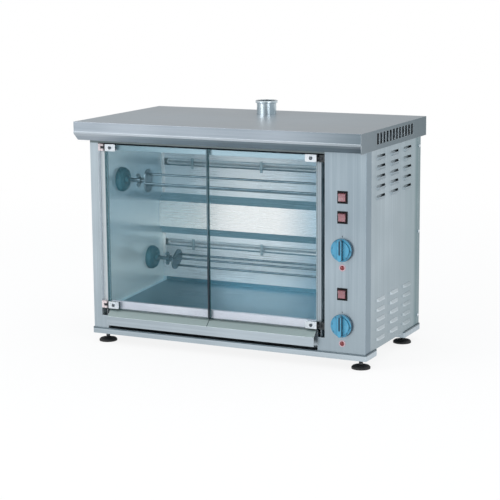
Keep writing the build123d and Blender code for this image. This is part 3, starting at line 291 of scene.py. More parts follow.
sideLook = dict(steelLook, light=colour(175, 189, 197), dark=colour(150, 165, 173), marks=(
    (lowDown, colour(136, 150, 156), 0.6),
    # painted highlights on the lower louvres, and painted shade on the upper ones
    (lambda graph: onLouvres(graph) * (graph.coordinate("Z") < louvreSplit),
     colour(222, 232, 238), 0.5),
    (lambda graph: onLouvres(graph) * (graph.coordinate("Z") > louvreSplit),
     colour(134, 150, 160), 0.6),
    # painted shade: darker towards the rear edge, and darkest on its fold
    (lambda graph: graph.ramp("Y", sideBack - 0.16, sideBack - 0.04), colour(134, 154, 160), 0.5),
    (lambda graph: graph.ramp("Y", sideBack - 0.034, sideBack - 0.006), colour(92, 122, 128), 0.8),
))
rearLook = dict(steelLook, marks=(
    # painted shade on faces that look right
    (onRightSide, colour(106, 130, 136), 0.85),
))
hoodLook = dict(
    steelLook, light=colour(164, 174, 184), dark=colour(142, 153, 163),
    fade=colour(84, 102, 110), fadeFrom=0.10, fadeTo=0.50, fadeSkew=0.25,    # painted shade, darker to the vent end
    marks=(
        # painted light on the top, and a painted highlight on the front hem
        (onTop, colour(176, 186, 193), 0.8),
        (lambda graph: graph.between("Z", hemLow, hemHigh) * (graph.turn("Y") < -0.3),
         colour(190, 197, 202), 0.3),
    ),
)
trayLook = dict(steelLook, light=colour(180, 192, 200), dark=colour(158, 170, 178), marks=(
    # painted shade on the sloped sill and other faces that look up
    (onTop, colour(152, 168, 167), 0.9),
    # painted reflection of the door seam, running down the sloped sill
    (lambda graph: onTop(graph) * graph.between("X", seamX - seamReflectionHalf, seamX + seamReflectionHalf),
     colour(46, 60, 64), 0.85),
    # painted shade: the right end of the apron is near black, like the gap beside it
    (lambda graph: onRightSide(graph) * (graph.coordinate("Y") < apronBack),
     colour(14, 20, 24), 0.95),
))
flueLook = dict(
    steelLook, light=colour(244, 247, 249), dark=colour(164, 180, 188),
    roughness=0.16, grainWidth=300.0,
)
railLook = dict(steelLook, marks=(
    # painted shade along the rail's top, under the parts that stand on it
    (lambda graph: graph.coordinate("Z") > railSeam, colour(62, 82, 92), 0.85),
))


def brushedSteel(name, axis, look):
    material, graph = newMaterial(name)
    stretch = [look["grainWidth"]] * 3
    stretch["XYZ".index(axis)] = look["grainLength"]
    wide = [side / look["streakWidth"] for side in stretch]
    grain = graph.noise(1.0, tuple(stretch), 2.0)
    streaks = graph.noise(1.0, tuple(wide), 4.0)
    clouds = graph.noise(look["cloudScale"], detail=2.0)
    smears = graph.noise(look["smearScale"], detail=5.0)
    edge, rounded = graph.edgeShine(look["bendRadius"])
    grainPart, streakPart, cloudPart = look["mix"]
    shade = grain * grainPart + streaks * streakPart + clouds * cloudPart
    sheet = graph.tint(graph.soften(shade, *look["contrast"]), look["dark"], look["light"])
    # painted shade that darkens the sheet along a skewed line, as on the hood towards its vent end
    if "fade" in look:
        along = graph.coordinate("X") + graph.coordinate("Y") * look["fadeSkew"]
        ventShade = graph.soften(along, look["fadeFrom"], look["fadeTo"])
        sheet = graph.tint(ventShade, sheet, look["fade"])
    sheet = graph.marked(sheet, look["marks"])
    # painted highlight on sharp edges and bends
    sheet = graph.tint(edge * look["edgeShare"], sheet, look["edge"])
    gloss = (grain - 0.5) * look["grainGloss"] + (smears - 0.5) * look["smearGloss"]
    finishSurface(graph, {
        "Base Color": sheet, "Metallic": look["metallic"], "Roughness": look["roughness"] + gloss,
        "Normal": graph.bump(grain + streaks, look["grainHeight"], rounded),
        "Anisotropic": look["anisotropy"],
    })
    return material


# liner of the chamber: satin side walls, a bright reflector behind and a dull floor
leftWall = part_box("chamber_left_wall")
flangeFront = leftWall[0].y + 0.0018    # in front of this the wall is its folded flange
stripEdge = leftWall[0].x + 0.0132      # the closing strip beside the left post ends here
wallFace = leftWall[0].x + 0.0117       # inner face of the wall
floorEdge = leftWall[0].x + 0.0217      # the floor is pale left of this
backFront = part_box("chamber_back_wall")[0].y
crestFront = backFront + 0.001          # only the reflector hump comes this far forward
backSeam = backFront + 0.0140
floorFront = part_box("chamber_floor")[0].y + 0.014        # front edge of the floor
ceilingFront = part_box("chamber_ceiling")[0].y + 0.003    # front flange of the ceiling


def onFlange(graph):
    return graph.coordinate("Y") < flangeFront


def behindFlange(graph):
    return graph.coordinate("Y") > flangeFront


def onCrest(graph):
    return graph.coordinate("Y") < crestFront


linerLook = {
    "grainStretch": (7.0, 900.0, 900.0),
    "cloudScale": 5.0,
    "mix": (0.75, 0.25),            # shares of clouds and grain
    "contrast": (0.35, 0.65),
    "smoke": colour(176, 176, 160),
    "smokeScale": 2.4,
    "smokeRange": (0.52, 0.80),
    "smokeMiddle": 0.3,             # height past which smoke thickens
    "smokeRise": 0.5,
    "smokeShare": 0.10,
    "edge": colour(222, 234, 240),
    "edgeShare": 0.3,
    "bendRadius": 0.001,
    "grainGloss": 0.10,
    "cloudGloss": 0.12,
    "grainHeight": 0.12,
    "marks": (),
}
sideWallLook = dict(
    linerLook, light=colour(192, 222, 234), dark=colour(170, 202, 215),
    metallic=0.45, roughness=0.22,
    marks=((onFlange, colour(160, 171, 179), 1.0),),
)
leftWallLook = dict(sideWallLook, light=colour(172, 202, 214), dark=colour(150, 182, 196), marks=(
    # painted shade on the front flange, and painted light on the closing strip beside the left post
    (onFlange, colour(58, 90, 100), 0.9),
    (lambda graph: (graph.coordinate("X") < stripEdge) * onFlange(graph),
     colour(192, 198, 202), 1.0),
    # painted light low and high on the wall, and a painted highlight along its rear edge
    (lambda graph: (1.0 - graph.ramp("Z", 0.16, 0.38)) * behindFlange(graph),
     colour(236, 254, 255), 1.0),
    (lambda graph: graph.ramp("Z", 0.42, 0.52) * behindFlange(graph),
     colour(226, 248, 255), 0.8),
    (lambda graph: (graph.coordinate("Y") > backSeam) * (graph.coordinate("X") > wallFace),
     colour(255, 255, 255), 0.9),
))
backWallLook = dict(
    linerLook, light=colour(240, 249, 254), dark=colour(226, 240, 248),
    metallic=0.36, roughness=0.28,
    polish=0.42,                    # added metal on the crest of the hump
    marks=(
        (onCrest, colour(252, 253, 253), 1.0),
        # painted shade, darker and cooler towards the right, and on the slopes
        (lambda graph: graph.ramp("X", 0.00, 0.18), colour(146, 188, 212), 0.9),
        (lambda graph: graph.soften(abs(graph.turn("Z")), 0.3, 0.5), colour(144, 190, 208), 0.92),
    ),
)
floorLook = dict(
    linerLook, light=colour(94, 142, 162), dark=colour(74, 122, 142),
    metallic=0.84, roughness=0.30,
    marks=(
        (lambda graph: graph.coordinate("X") < floorEdge, colour(214, 240, 250), 0.9),
        # painted shade along the front edge of the floor, where it meets the lip
        (lambda graph: graph.coordinate("Y") < floorFront, colour(24, 48, 56), 0.9),
    ),
)
ceilingLook = dict(
    # painted shade: a darker copy of the liner, under the hood
    linerLook, light=colour(112, 140, 152), dark=colour(96, 126, 138),
    metallic=0.90, roughness=0.32,
    marks=(
        # painted light on the front flange, brighter to the right
        (lambda graph: (graph.coordinate("Y") < ceilingFront) * graph.ramp("X", -0.36, 0.02),
         colour(164, 190, 203), 1.0),
    ),
)
lipLook = dict(
    linerLook, light=colour(214, 217, 227), dark=colour(196, 200, 211),
    metallic=0.84, roughness=0.36,
)


def linerSteel(name, look):
    material, graph = newMaterial(name)
    grain = graph.noise(1.0, look["grainStretch"], 3.0)
    clouds = graph.noise(look["cloudScale"], detail=3.0)
    height = (graph.coordinate("Z") - look["smokeMiddle"]) * look["smokeRise"]
    drift = graph.noise(look["smokeScale"], detail=5.0)
    smoke = graph.soften(drift + height, *look["smokeRange"])
    edge, rounded = graph.edgeShine(look["bendRadius"])
    cloudPart, grainPart = look["mix"]
    shade = graph.soften(clouds * cloudPart + grain * grainPart, *look["contrast"])
    sheet = graph.tint(shade, look["dark"], look["light"])
    sheet = graph.tint(smoke * look["smokeShare"], sheet, look["smoke"])
    sheet = graph.marked(sheet, look["marks"])
    # painted highlight on sharp edges and bends
    sheet = graph.tint(edge * look["edgeShare"], sheet, look["edge"])
    metallic = look["metallic"]
    if "polish" in look:
        metallic = onCrest(graph) * look["polish"] + metallic
    gloss = (grain - 0.5) * look["grainGloss"] + (clouds - 0.5) * look["cloudGloss"]
    finishSurface(graph, {
        "Base Color": sheet, "Metallic": metallic, "Roughness": look["roughness"] + gloss,
        "Normal": graph.bump(grain, look["grainHeight"], rounded),
    })
    return material


# door glass: a faint green veil, denser on the cut edges
glassLook = {
    "veil": colour(140, 186, 198),
    "edge": colour(40, 92, 96),
    "veilAmount": 0.04,
    "wipeScale": 9.0,
    "wipeAmount": 0.03,
    "glanceBlend": 0.18,
    "glanceAmount": 0.20,
    "edgeAmount": 0.6,
    "roughness": 0.03,
    "smearRoughness": 0.05,
}


def doorGlass(look):
    material, graph = newMaterial("doorGlass")
    cut = graph.soften(1.0 - abs(graph.turn("Y")), 0.2, 0.5)
    wiped = graph.noise(look["wipeScale"], (1, 1, 0.25), 4.0)
    glance = graph.add("LayerWeight", None, {"Blend": look["glanceBlend"]}, out="Fresnel")
    alpha = (
        look["veilAmount"] + (wiped - 0.5) * look["wipeAmount"]
        + glance * look["glanceAmount"] + cut * look["edgeAmount"]
    )
    smears = graph.soften(wiped, 0.5, 0.8) * look["smearRoughness"]
    finishSurface(graph, {
        "Base Color": graph.tint(cut, look["veil"], look["edge"]),
        "Roughness": look["roughness"] + smears, "Alpha": alpha, "IOR": 1.5,
    })
    return material


# seal on the seam of the doors: clear plastic at the top, grimy and dark lower down
sealLook = {
    "clear": colour(70, 100, 112),
    "grime": colour(4, 24, 38),
    "clean": 0.34,              # all clear above this height, and all grimy below the next
    "grimy": 0.20,
    "patchScale": 60.0,
    "patchReach": 0.04,
    "clearAlpha": 0.60,
    "grimeAlpha": 0.38,         # added where it is grimy
}


def sealStrip(look):
    material, graph = newMaterial("sealStrip")
    patches = graph.noise(look["patchScale"], (1, 1, 0.4), 3.0)
    height = graph.coordinate("Z") + (patches - 0.5) * look["patchReach"]
    dirty = 1.0 - graph.soften(height, look["grimy"], look["clean"])
    finishSurface(graph, {
        "Base Color": graph.tint(dirty, look["clear"], look["grime"]),
        "Roughness": 0.3 + patches * 0.3,
        "Alpha": look["clearAlpha"] + dirty * look["grimeAlpha"],
    })
    return material


# small hardware: clips, nuts, spits and screws
metalSkin = {
    "broadScale": 28.0,
    "bendRadius": 0.0005,
    "edge": colour(235, 238, 240),
    "edgeShare": 0.4,
    "contrast": (0.35, 0.65),
    "gloss": 0.15,
}


def plainMetal(name, light, dark, roughness, metallic=1.0, mottle=240.0, depth=0.1, marks=()):
    material, graph = newMaterial(name)
    fine = graph.noise(mottle, detail=3.0)
    broad = graph.noise(metalSkin["broadScale"], detail=4.0)
    edge, rounded = graph.edgeShine(metalSkin["bendRadius"])
    shade = graph.soften(fine * 0.5 + broad * 0.5, *metalSkin["contrast"])
    skin = graph.tint(shade, dark, light)
    # painted highlight on sharp edges
    skin = graph.tint(edge * metalSkin["edgeShare"], skin, metalSkin["edge"])
    finishSurface(graph, {
        "Base Color": graph.marked(skin, marks), "Metallic": metallic,
        "Roughness": roughness + (broad - 0.5) * metalSkin["gloss"],
        "Normal": graph.bump(fine, depth, rounded),
    })
    return material


# plastic or rubber with a fine eroded texture, rubbed paler along its edges
mouldedSkin = {
    "poreScale": 900.0,
    "rubScale": 60.0,
    "bendRadius": 0.0008,
    "edgeShare": 0.55,
    "rubShare": 0.12,
    "gloss": 0.14,
}


def moulding(name, main, worn, roughness, coat=0.0, depth=0.12, extra=None, marks=()):
    material, graph = newMaterial(name)
    pores = graph.noise(mouldedSkin["poreScale"], detail=2.0)
    rubbed = graph.noise(mouldedSkin["rubScale"], detail=4.0)
    edge, rounded = graph.edgeShine(mouldedSkin["bendRadius"])
    wornEdge = edge * graph.soften(rubbed, 0.40, 0.62) * mouldedSkin["edgeShare"]
    skin = graph.tint(wornEdge, main, worn)
    skin = graph.tint(graph.soften(rubbed, 0.45, 0.75) * mouldedSkin["rubShare"], skin, worn)
    values = {
        "Base Color": graph.marked(skin, marks),
        "Roughness": roughness + (rubbed - 0.5) * mouldedSkin["gloss"],
        "Normal": graph.bump(pores, depth, rounded), "Coat Weight": coat,
    }
    values.update(extra or {})
    finishSurface(graph, values)
    return material


# sheath of the heating elements, oxidised in patches by the heat
sheathLook = {
    "scale": 420.0,
    "heat": 30.0,
    "oxides": (
        (0.30, colour(198, 218, 229)), (0.50, colour(216, 230, 237)), (0.72, colour(230, 241, 247)),
    ),
    "roughness": 0.45,
    "metallic": 0.15,
    "height": 0.3,
}


def heaterSheath(look):
    material, graph = newMaterial("heaterSheath")
    scale = graph.noise(look["scale"], detail=5.0)
    heat = graph.noise(look["heat"], (1, 0.2, 0.2), 3.0)
    oxide = graph.add("ValToRGB", {"stops": look["oxides"]}, {"Fac": heat * 0.6 + scale * 0.4})
    finishSurface(graph, {
        "Base Color": oxide, "Metallic": look["metallic"],
        "Roughness": look["roughness"] + (scale - 0.5) * 0.2,
        "Normal": graph.bump(scale, look["height"], depth=0.0003),
    })
    return material


print("building materials")
steelAcross = brushedSteel("steelAcross", "X", steelLook)
panelSteel = brushedSteel("panelSteel", "Z", panelLook)
sideSteel = brushedSteel("sideSteel", "Z", sideLook)
railSteel = brushedSteel("railSteel", "X", railLook)
darkSteel = plainMetal("darkSteel", colour(84, 92, 100), colour(52, 60, 68), 0.34)
spitSteel = plainMetal("spitSteel", colour(116, 138, 150), colour(84, 106, 118), 0.34)
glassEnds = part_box("left_door_glass")[0].x - 0.0002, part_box("right_door_glass")[1].x + 0.0002
clipSteel = plainMetal("clipSteel", colour(226, 232, 238), colour(196, 206, 214), 0.20, marks=(
    # painted shade: the ears past the glass are dark
    (lambda graph: 1.0 - graph.between("X", *glassEnds), colour(30, 32, 36), 0.95),
))
materialOf = {
    "stainless": steelAcross,
    "liner": linerSteel("linerSide", sideWallLook),
    "glass": doorGlass(glassLook),
    "bright_metal": plainMetal("brightMetal", colour(226, 232, 238), colour(196, 206, 214), 0.20),
    "cast_alloy": plainMetal(
        "castAlloy", colour(62, 126, 142), colour(42, 98, 114), 0.50, 0.5, 620.0, 0.35
    ),
    "hinge_black": moulding("hingeBlack", colour(26, 32, 36), colour(92, 102, 108), 0.38),
    "heater_steel": heaterSheath(sheathLook),
    "black_plastic": moulding(
        "blackPlastic", colour(4, 4, 6), colour(24, 25, 28), 0.55,
        extra={"Specular IOR Level": 0.25},
    ),
    "rocker_red": moulding(
        "rockerRed", colour(136, 92, 100), colour(214, 194, 198), 0.18, 0.5, 0.03,
        extra={"Subsurface Weight": 0.15, "Subsurface Scale": 0.004},
    ),
    "lamp_red": moulding(
        "lampRed", colour(108, 8, 20), colour(176, 60, 72), 0.12, 0.6, 0.02,
    ),
    "knob_blue": moulding(
        "knobBlue", colour(64, 144, 178), colour(138, 194, 216), 0.26, 0.35, 0.05,
        marks=(
            # painted shade on the flanks of the knob that face right and up
            (lambda graph: graph.facing("X", 0.15, 0.5), colour(2, 40, 60), 0.95),
            (lambda graph: graph.facing("Z", 0.25, 0.6), colour(12, 82, 108), 0.8),
        ),
    ),
    "seal_rubber": moulding("sealRubber", colour(8, 28, 42), colour(40, 62, 76), 0.55),
    "foot_rubber": moulding("footRubber", colour(20, 22, 24), colour(60, 64, 66), 0.60),
}
finishOf = {
    "front_base_rail": railSteel,
    "rear_base_rail": railSteel,
    "front_frame": brushedSteel("frameSteel", "Z", frameLook),
    "rear_panel": brushedSteel("rearSteel", "Z", rearLook),
    "flue_pipe": brushedSteel("flueSteel", "Z", flueLook),
    "control_panel": panelSteel,
    "left_side_panel": sideSteel,
    "right_side_panel": sideSteel,
    "hood": brushedSteel("hoodSteel", "X", hoodLook),
    "drip_tray": brushedSteel("traySteel", "X", trayLook),
    "chamber_left_wall": linerSteel("linerLeft", leftWallLook),
    "chamber_back_wall": linerSteel("linerBack", backWallLook),
    "chamber_floor": linerSteel("linerFloor", floorLook),
    "chamber_ceiling": linerSteel("linerCeiling", ceilingLook),
    "chamber_front_lip": linerSteel("linerLip", lipLook),
    "left_hinge_blocks": moulding(
        "hingePale", colour(206, 194, 196), colour(230, 224, 224), 0.34
    ),
    "hinge_pins": darkSteel,
    "left_door_clips": clipSteel,
    "right_door_clips": clipSteel,
    "element_clips": plainMetal(
        "elementClip", colour(156, 180, 190), colour(132, 156, 168), 0.40, 0.5
    ),
    "door_seal": sealStrip(sealLook),
    "upper_spit": spitSteel,
    "lower_spit": spitSteel,
    "upper_wing_nut": spitSteel,
    "lower_wing_nut": spitSteel,
}
for name, node in nodes.items():
    finish = finishOf.get(name, materialOf[slotOf[name]])
    node.data.materials.clear()
    node.data.materials.append(finish)
inkDark = moulding("inkDark", colour(12, 56, 78), colour(34, 82, 102), 0.5)
knobShadowMark = moulding("knobShadowMark", colour(42, 48, 52), colour(80, 86, 90), 0.5)
zincThread = plainMetal("zincThread", colour(150, 158, 164), colour(110, 118, 124), 0.35)
halo = moulding("halo", colour(190, 162, 170), colour(214, 196, 202), 0.2, 0.3, 0.02)


def centreOf(node):
    low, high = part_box(node)
    return (low + high) / 2


def addPiece(name, mesh, material, body):
    made = bpy.data.objects.new(name, mesh)
    scene.collection.objects.link(made)
    mesh.materials.append(material)
    mesh.shade_flat()
    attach(made, body)


def meshFrom(name, shape):
    bmesh.ops.recalc_face_normals(shape, faces=shape.faces)
    mesh = bpy.data.meshes.new(name)
    shape.to_mesh(mesh)
    shape.free()
    return mesh


def ringPoints(radius, count):
    angles = [2 * pi * k / count for k in range(count)]
    return [(radius * cos(angle), radius * sin(angle)) for angle in angles]


# pan heads with a cross recess, over the plain heads of the CAD screws
headSetup = {
    "rings": 11,
    "around": 40,
    "crown": 0.0008,
    "lift": 0.00005,            # stands this far off the CAD head
    "foot": 0.0003,             # and reaches this far into it
    "recessDepth": 0.0007,
    "recessReach": 0.0026,
    "recessSlope": 0.4,
    "slotHalf": 0.00050,
}


def addHead(shape, where, radius, setup):
    # a domed disc in its own plane; points inside the cross sink into the head
    count = setup["around"]
    rows = []
    for ring in range(1, setup["rings"] + 1):
        reach = radius * ring / setup["rings"]
        row = []
        for x, y in ringPoints(reach, count):
            dome = sqrt(max(0.0, 1 - (reach / radius) ** 2))
            height = setup["crown"] * dome + setup["lift"]
            if min(abs(x), abs(y)) < setup["slotHalf"] and reach < setup["recessReach"]:
                slope = 1 - setup["recessSlope"] * reach / setup["recessReach"]
                height -= setup["recessDepth"] * slope
            row.append(shape.verts.new(where @ Vector((x, y, height))))
        rows.append(row)
    middle = shape.verts.new(where @ Vector((0, 0, setup["crown"] - setup["recessDepth"])))
    outline = [Vector((x, y, -setup["foot"])) for x, y in ringPoints(radius, count)]
    foot = [shape.verts.new(where @ corner) for corner in outline]
    rows.append(foot)
    for k in range(count):
        n = (k + 1) % count
        shape.faces.new((middle, rows[0][k], rows[0][n]))
        for inner, outer in zip(rows, rows[1:]):
            shape.faces.new((inner[k], outer[k], outer[n], inner[n]))
    shape.faces.new(foot[::-1])


def aimed(place, outward):
    # a frame at a place, whose local z points outward
    return Matrix.Translation(place) @ Vector(outward).to_track_quat("Z", "Y").to_matrix().to_4x4()


def islands(node):
    # lowest and highest corners of the separate solids in a CAD node
    shape = bmesh.new()
    shape.from_mesh(nodes[node].data)
    bmesh.ops.remove_doubles(shape, verts=shape.verts, dist=1e-6)
    seen, found = set(), []
    for start in shape.verts:
        if start in seen:
            continue
        seen.add(start)
        stack, group = [start], []
        while stack:
            vertex = stack.pop()
            group.append(vertex.co.copy())
            for edge in vertex.link_edges:
                other = edge.other_vert(vertex)
                if other not in seen:
                    seen.add(other)
                    stack.append(other)
        low = Vector([min(corner[i] for corner in group) for i in range(3)])
        high = Vector([max(corner[i] for corner in group) for i in range(3)])
        found.append((low, high))
    shape.free()
    return found


print("screw heads")
for side in ("left", "right"):
    shape = bmesh.new()
    for low, high in islands(f"{side}_door_clips"):
        size = high - low
        if abs(size.x - size.z) < 0.0005:      # the round screws, not the clips
            face = Vector(((low.x + high.x) / 2, low.y, (low.z + high.z) / 2))
            addHead(shape, aimed(face, (0, -1, 0)), size.x / 2, headSetup)
    addPiece(
        f"{side}_clip_screw_heads", meshFrom("heads", shape), darkSteel,
        f"{side}_door",
    )

shape = bmesh.new()
caseMiddle = centreOf("rear_panel")
for low, high in islands("casing_screws"):
    middle = (low + high) / 2
    size = high - low
    if size.y < size.x:
        outward, radius = (0, 1, 0), size.x / 2
        face = Vector((middle.x, high.y, middle.z))
    else:
        sign = 1 if middle.x > caseMiddle.x else -1
        outward, radius = (sign, 0, 0), size.y / 2
        face = Vector((high.x if sign > 0 else low.x, middle.y, middle.z))
    addHead(shape, aimed(face, outward), radius, headSetup)
addPiece(
    "casing_screw_heads", meshFrom("heads", shape), materialOf["bright_metal"],
    "case",
)


# baffles folded from strip, inside the panel behind each row of upper louvres
baffleSetup = {
    "rows": 5,
    "pitch": 0.025,
    "middle": 0.4295,      # of the five rows, above the base rails
    "ends": (-0.134, 0.146),
    "fold": (
        (0.0002, -0.0125), (0.0002, -0.0045), (0.0062, 0.0104),
        (0.0070, 0.0101), (0.0010, -0.0048), (0.0010, -0.0125),
    ),
}


def addBaffles(setup):
    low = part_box("right_side_panel")[0]
    middleY = centreOf("left_side_panel").y
    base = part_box("front_base_rail")[1].z + setup["middle"]
    shape = bmesh.new()
    for row in range(setup["rows"]):
        z = base + (row - (setup["rows"] - 1) / 2) * setup["pitch"]
        ends = []
        for end in setup["ends"]:
            corners = [(low.x - inward, middleY + end, z + rise) for inward, rise in setup["fold"]]
            ends.append([shape.verts.new(corner) for corner in corners])
        count = len(setup["fold"])
        for k in range(count):
            n = (k + 1) % count
            shape.faces.new((ends[0][k], ends[0][n], ends[1][n], ends[1][k]))
        shape.faces.new(ends[0][::-1])
        shape.faces.new(ends[1])
    addPiece("louvre_baffles", meshFrom("baffles", shape), sideSteel, "case")


print("louvre baffles")
addBaffles(baffleSetup)


# dials: figures and fine ticks on the skirt of each knob, a line on its grip, and a dark mark on
# the panel that paints the knob's shadow
dialSetup = {
    "figures": ("50", "100", "150", "200", "250", "300"),
    "firstAngle": 35.0,
    "step": 46.0,
    "figureSize": 0.0042,
    "figureRing": 0.0246,
    "skirtOut": 0.0075,         # the skirt's face stands this far off the panel
    "ticks": 11,
    "tickOut": 0.0115,
    "tickRing": 0.0222,
    "tickSize": (0.0005, 0.0014),
    "mainTickIn": 0.0004,       # ticks at the figures sit this much further in
    "lineWidth": 0.0050,
    "lineReach": 1.30,          # length of the line, in radii of the knob
    "lineMargin": 0.003,
    "markGap": 0.0045,
    "markSize": (0.0016, 0.0055),
    "inkDepth": 0.00012,
}


def flatBar(shape, where, width, length, depth):
    # a thin bar in its own plane, its length along local y, with softly cut ends
    half, end = width / 2, length / 2
    outline = [
        (-half, -end + half), (0, -end), (half, -end + half),
        (half, end - half), (0, end), (-half, end - half),
    ]
    bottom = [shape.verts.new(where @ Vector((x, y, -depth))) for x, y in outline]
    top = [shape.verts.new(where @ Vector((x, y, depth))) for x, y in outline]
    shape.faces.new(top)
    shape.faces.new(bottom[::-1])
    for k in range(len(outline)):
        n = (k + 1) % len(outline)
        shape.faces.new((bottom[k], bottom[n], top[n], top[k]))


def onFront(x, y, z, angle=0.0):
    # local z points at the viewer, and local y is turned anticlockwise from upright
    upright = Matrix.Rotation(radians(90), 4, "X")
    return Matrix.Translation((x, y, z)) @ upright @ Matrix.Rotation(radians(angle), 4, "Z")


def onRing(middle, y, ring, angle):
    turn = radians(angle)
    return onFront(middle.x - ring * sin(turn), y, middle.z + ring * cos(turn), angle)


def figureMesh(figure, setup):
    text = bpy.data.curves.new("figure", "FONT")
    text.body = figure
    text.size = setup["figureSize"]
    text.align_x = "CENTER"
    text.align_y = "CENTER"
    text.extrude = setup["inkDepth"]
    carrier = bpy.data.objects.new("figure", text)
    scene.collection.objects.link(carrier)
    bpy.context.view_layer.update()
    solved = carrier.evaluated_get(bpy.context.evaluated_depsgraph_get())
    flat = bpy.data.meshes.new_from_object(solved)
    bpy.data.objects.remove(carrier)
    return flat


def addDial(number, body, setup):
    low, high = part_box(f"thermostat_knob_{number}")
    middle = (low + high) / 2
    radius = (high.x - low.x) / 2
    ink = setup["inkDepth"]
    shape = bmesh.new()
    for k, figure in enumerate(setup["figures"]):
        angle = setup["firstAngle"] + k * setup["step"]
        flat = figureMesh(figure, setup)
        flat.transform(onRing(middle, frontPlane - setup["skirtOut"], setup["figureRing"], angle))
        shape.from_mesh(flat)
        bpy.data.meshes.remove(flat)
    for k in range(setup["ticks"]):
        angle = setup["firstAngle"] + k * setup["step"] / 2
        ring = setup["tickRing"] if k % 2 else setup["tickRing"] - setup["mainTickIn"]
        where = onRing(middle, frontPlane - setup["tickOut"], ring, angle)
        flatBar(shape, where, *setup["tickSize"], ink)
    addPiece(f"dial_figures_{number}", meshFrom("figures", shape), inkDark, body)
    shape = bmesh.new()
    length = radius * setup["lineReach"]
    lineZ = middle.z + radius - setup["lineMargin"] - length / 2
    flatBar(shape, onFront(middle.x, low.y, lineZ), setup["lineWidth"], length, ink)
    addPiece(f"dial_pointer_{number}", meshFrom("pointer", shape), inkDark, body)
    # painted shadow: a dark mark on the panel just above the knob
    shape = bmesh.new()
    markZ = middle.z + radius + setup["markGap"]
    flatBar(shape, onFront(middle.x, frontPlane, markZ), *setup["markSize"], ink)
    addPiece(f"dial_mark_{number}", meshFrom("mark", shape), knobShadowMark, "case")


print("dials")
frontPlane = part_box("front_frame")[0].y
addDial(1, "upper_knob", dialSetup)
addDial(2, "lower_knob", dialSetup)


# pale flange round each pilot lamp
lampSetup = {"inner": 0.0060, "outer": 0.0088, "height": 0.0014, "around": 48}


def turned(profile, count, where):
    # a ring from a closed profile of (radius, height) points
    shape = bmesh.new()
    rows = []
    for radius, height in profile:
        corners = [(x, y, height) for x, y in ringPoints(radius, count)]
        rows.append([shape.verts.new(where @ Vector(corner)) for corner in corners])
    for row, nextRow in zip(rows, rows[1:] + rows[:1]):
        for k in range(count):
            n = (k + 1) % count
            shape.faces.new((row[k], row[n], nextRow[n], nextRow[k]))
    return shape


def addFlange(number, setup):
    middle = centreOf(f"pilot_lamp_{number}")
    inner, outer, height = setup["inner"], setup["outer"], setup["height"]
    profile = [
        (inner, 0.0), (outer, 0.0), (outer, height / 2),
        (outer - height / 2, height), (inner, height),
    ]
    where = aimed((middle.x, frontPlane, middle.z), (0, -1, 0))
    shape = turned(profile, setup["around"], where)
    addPiece(f"lamp_flange_{number}", meshFrom("flange", shape), halo, "case")


print("lamp flanges")
for number in (1, 2):
    addFlange(number, lampSetup)


# rolled thread on the studs of the levelling feet
threadSetup = {
    "pitch": 0.0015,
    "root": 0.00502,
    "rise": 0.00035,
    "sink": 0.0004,         # foot of the thread, inside the stud
    "flank": 0.45,          # half its width, in pitches
    "runOut": 10,           # steps over which it fades at each end
    "start": 0.0105,        # above the foot's underside
    "intoRail": 0.001,
    "around": 28,
}


def addThread(corner, setup):
    low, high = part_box(f"levelling_foot_{corner}")
    middle = (low + high) / 2
    bottom = low.z + setup["start"]
    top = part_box("front_base_rail")[0].z + setup["intoRail"]
    inside = setup["root"] - setup["sink"]
    crest = setup["root"] + setup["rise"]
    steps = int((top - bottom) / setup["pitch"] * setup["around"])
    profile = ((inside, -setup["flank"]), (crest, 0.0), (inside, setup["flank"]))
    shape = bmesh.new()
    rows = []
    for k in range(steps + 1):
        angle = 2 * pi * k / setup["around"]
        z = bottom + setup["pitch"] * k / setup["around"]
        fade = min(1.0, k / setup["runOut"], (steps - k) / setup["runOut"])
        row = []
        for radius, lift in profile:
            reach = inside + (radius - inside) * fade
            row.append(shape.verts.new((
                middle.x + reach * cos(angle), middle.y + reach * sin(angle),
                z + lift * setup["pitch"],
            )))
        rows.append(row)
    for row, nextRow in zip(rows, rows[1:]):
        for a, b in ((0, 1), (1, 2), (2, 0)):
            shape.faces.new((row[a], nextRow[a], nextRow[b], row[b]))
    shape.faces.new(rows[0])
    shape.faces.new(rows[-1][::-1])
    addPiece(
        f"foot_thread_{corner}", meshFrom("thread", shape), zincThread,
        f"foot_{corner}",
    )


print("foot threads")
for corner in ("front_left", "front_right", "rear_left", "rear_right"):
    addThread(corner, threadSetup)


# studio: white floor that keeps the shadow, white surroundings and three soft lamps
floorSetup = {
    "size": 60.0,
    "white": 0.86,              # share of plain white where the shadow may fall
    "clear": (1.2, 3.0),        # from here on all of it is white
    "paint": (0.78, 0.79, 0.80, 1.0),
}
worldSetup = {
    "light": 1.15,
    "tint": (0.97, 0.985, 1.0, 1.0),
    # dark flags: (direction, edge and core as cosines, amount)
    "flags": (
        ((-0.50, 0.85, 0.15), 0.20, 0.95, 0.45),      # behind the object, mirrored in its top
        ((0.42, -0.88, 0.22), 0.925, 0.985, 0.85),    # in front, mirrored in the flue
    ),
}
lampsSetup = {
    "keyLamp": {
        "place": (-2.2, -3.4, 1.9), "size": 2.4, "power": 54.0, "tint": (1.0, 0.995, 0.985),
    },
    "fillLamp": {
        "place": (3.0, -2.6, 0.8), "size": 2.0, "power": 34.0, "tint": (0.97, 0.985, 1.0),
    },
    "topLamp": {
        "place": (0.3, -0.6, 3.4), "size": 2.8, "power": 14.0, "tint": (1.0, 1.0, 1.0),
    },
}


def seenDirectly(graph):
    # 1 for what the camera sees, straight on or by metal and glass
    camera = graph.add("LightPath", out="Is Camera Ray")
    glossy = graph.add("LightPath", out="Is Glossy Ray")
    through = graph.add("LightPath", out="Is Transmission Ray")
    return graph.soften(camera + glossy + through, 0.0, 1.0)


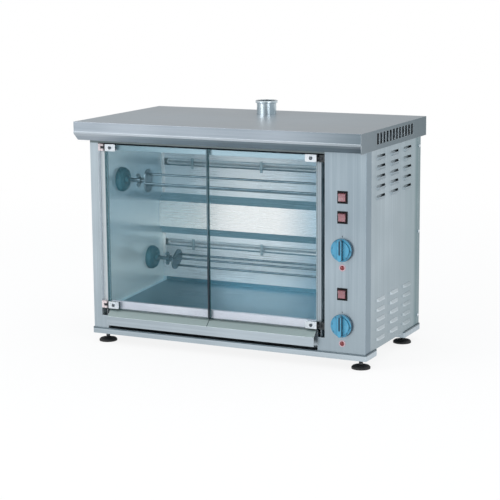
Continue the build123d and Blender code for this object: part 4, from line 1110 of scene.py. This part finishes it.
def makeFloor(setup):
    half = setup["size"] / 2
    corners = ((-half, -half, 0), (half, -half, 0), (half, half, 0), (-half, half, 0))
    shape = bmesh.new()
    shape.faces.new([shape.verts.new(corner) for corner in corners])
    mesh = meshFrom("floor", shape)
    material, graph = newMaterial("floorPaint")
    paint = graph.add("BsdfDiffuse", None, {"Color": setup["paint"]})
    glow = graph.add("Emission", None, {"Color": (1, 1, 1, 1), "Strength": 1.0})
    away = graph.add("VectorMath", {"operation": "LENGTH"}, {0: graph.place()}, out=1)
    share = setup["white"] + graph.soften(away, *setup["clear"]) * (1.0 - setup["white"])
    mixed = graph.add("MixShader", None, {0: seenDirectly(graph) * share, 1: paint, 2: glow})
    graph.add("OutputMaterial", None, {"Surface": mixed})
    mesh.materials.append(material)
    floor = bpy.data.objects.new("floor", mesh)
    scene.collection.objects.link(floor)


def makeWorld(setup):
    world = bpy.data.worlds.new("studio")
    scene.world = world
    world.use_nodes = True
    graph = Graph(world.node_tree)
    seen = seenDirectly(graph)
    heading = graph.add("TexCoord", out="Generated")
    shaded = 1.0
    for direction, edge, core, amount in setup["flags"]:
        towards = graph.add(
            "VectorMath", {"operation": "DOT_PRODUCT"}, {0: heading, 1: direction}, out=1
        )
        shaded = shaded * (1.0 - graph.soften(towards, edge, core) * amount)
    direct = graph.add("LightPath", out="Is Camera Ray")
    strength = direct + (1.0 - direct) * shaded * (seen + (1.0 - seen) * setup["light"])
    white = graph.tint(seen, setup["tint"], (1, 1, 1, 1))
    light = graph.add("Background", None, {"Color": white, "Strength": strength})
    graph.add("OutputWorld", None, {"Surface": light})


def makeLamps(setup):
    target = centreOf("chamber_back_wall")
    for name, lamp in setup.items():
        data = bpy.data.lights.new(name, "AREA")
        data.shape = "SQUARE"
        data.size = lamp["size"]
        data.energy = lamp["power"]
        data.color = lamp["tint"]
        made = bpy.data.objects.new(name, data)
        scene.collection.objects.link(made)
        made.matrix_world = aimed(lamp["place"], Vector(lamp["place"]) - target)


print("studio")
makeFloor(floorSetup)
makeWorld(worldSetup)
makeLamps(lampsSetup)
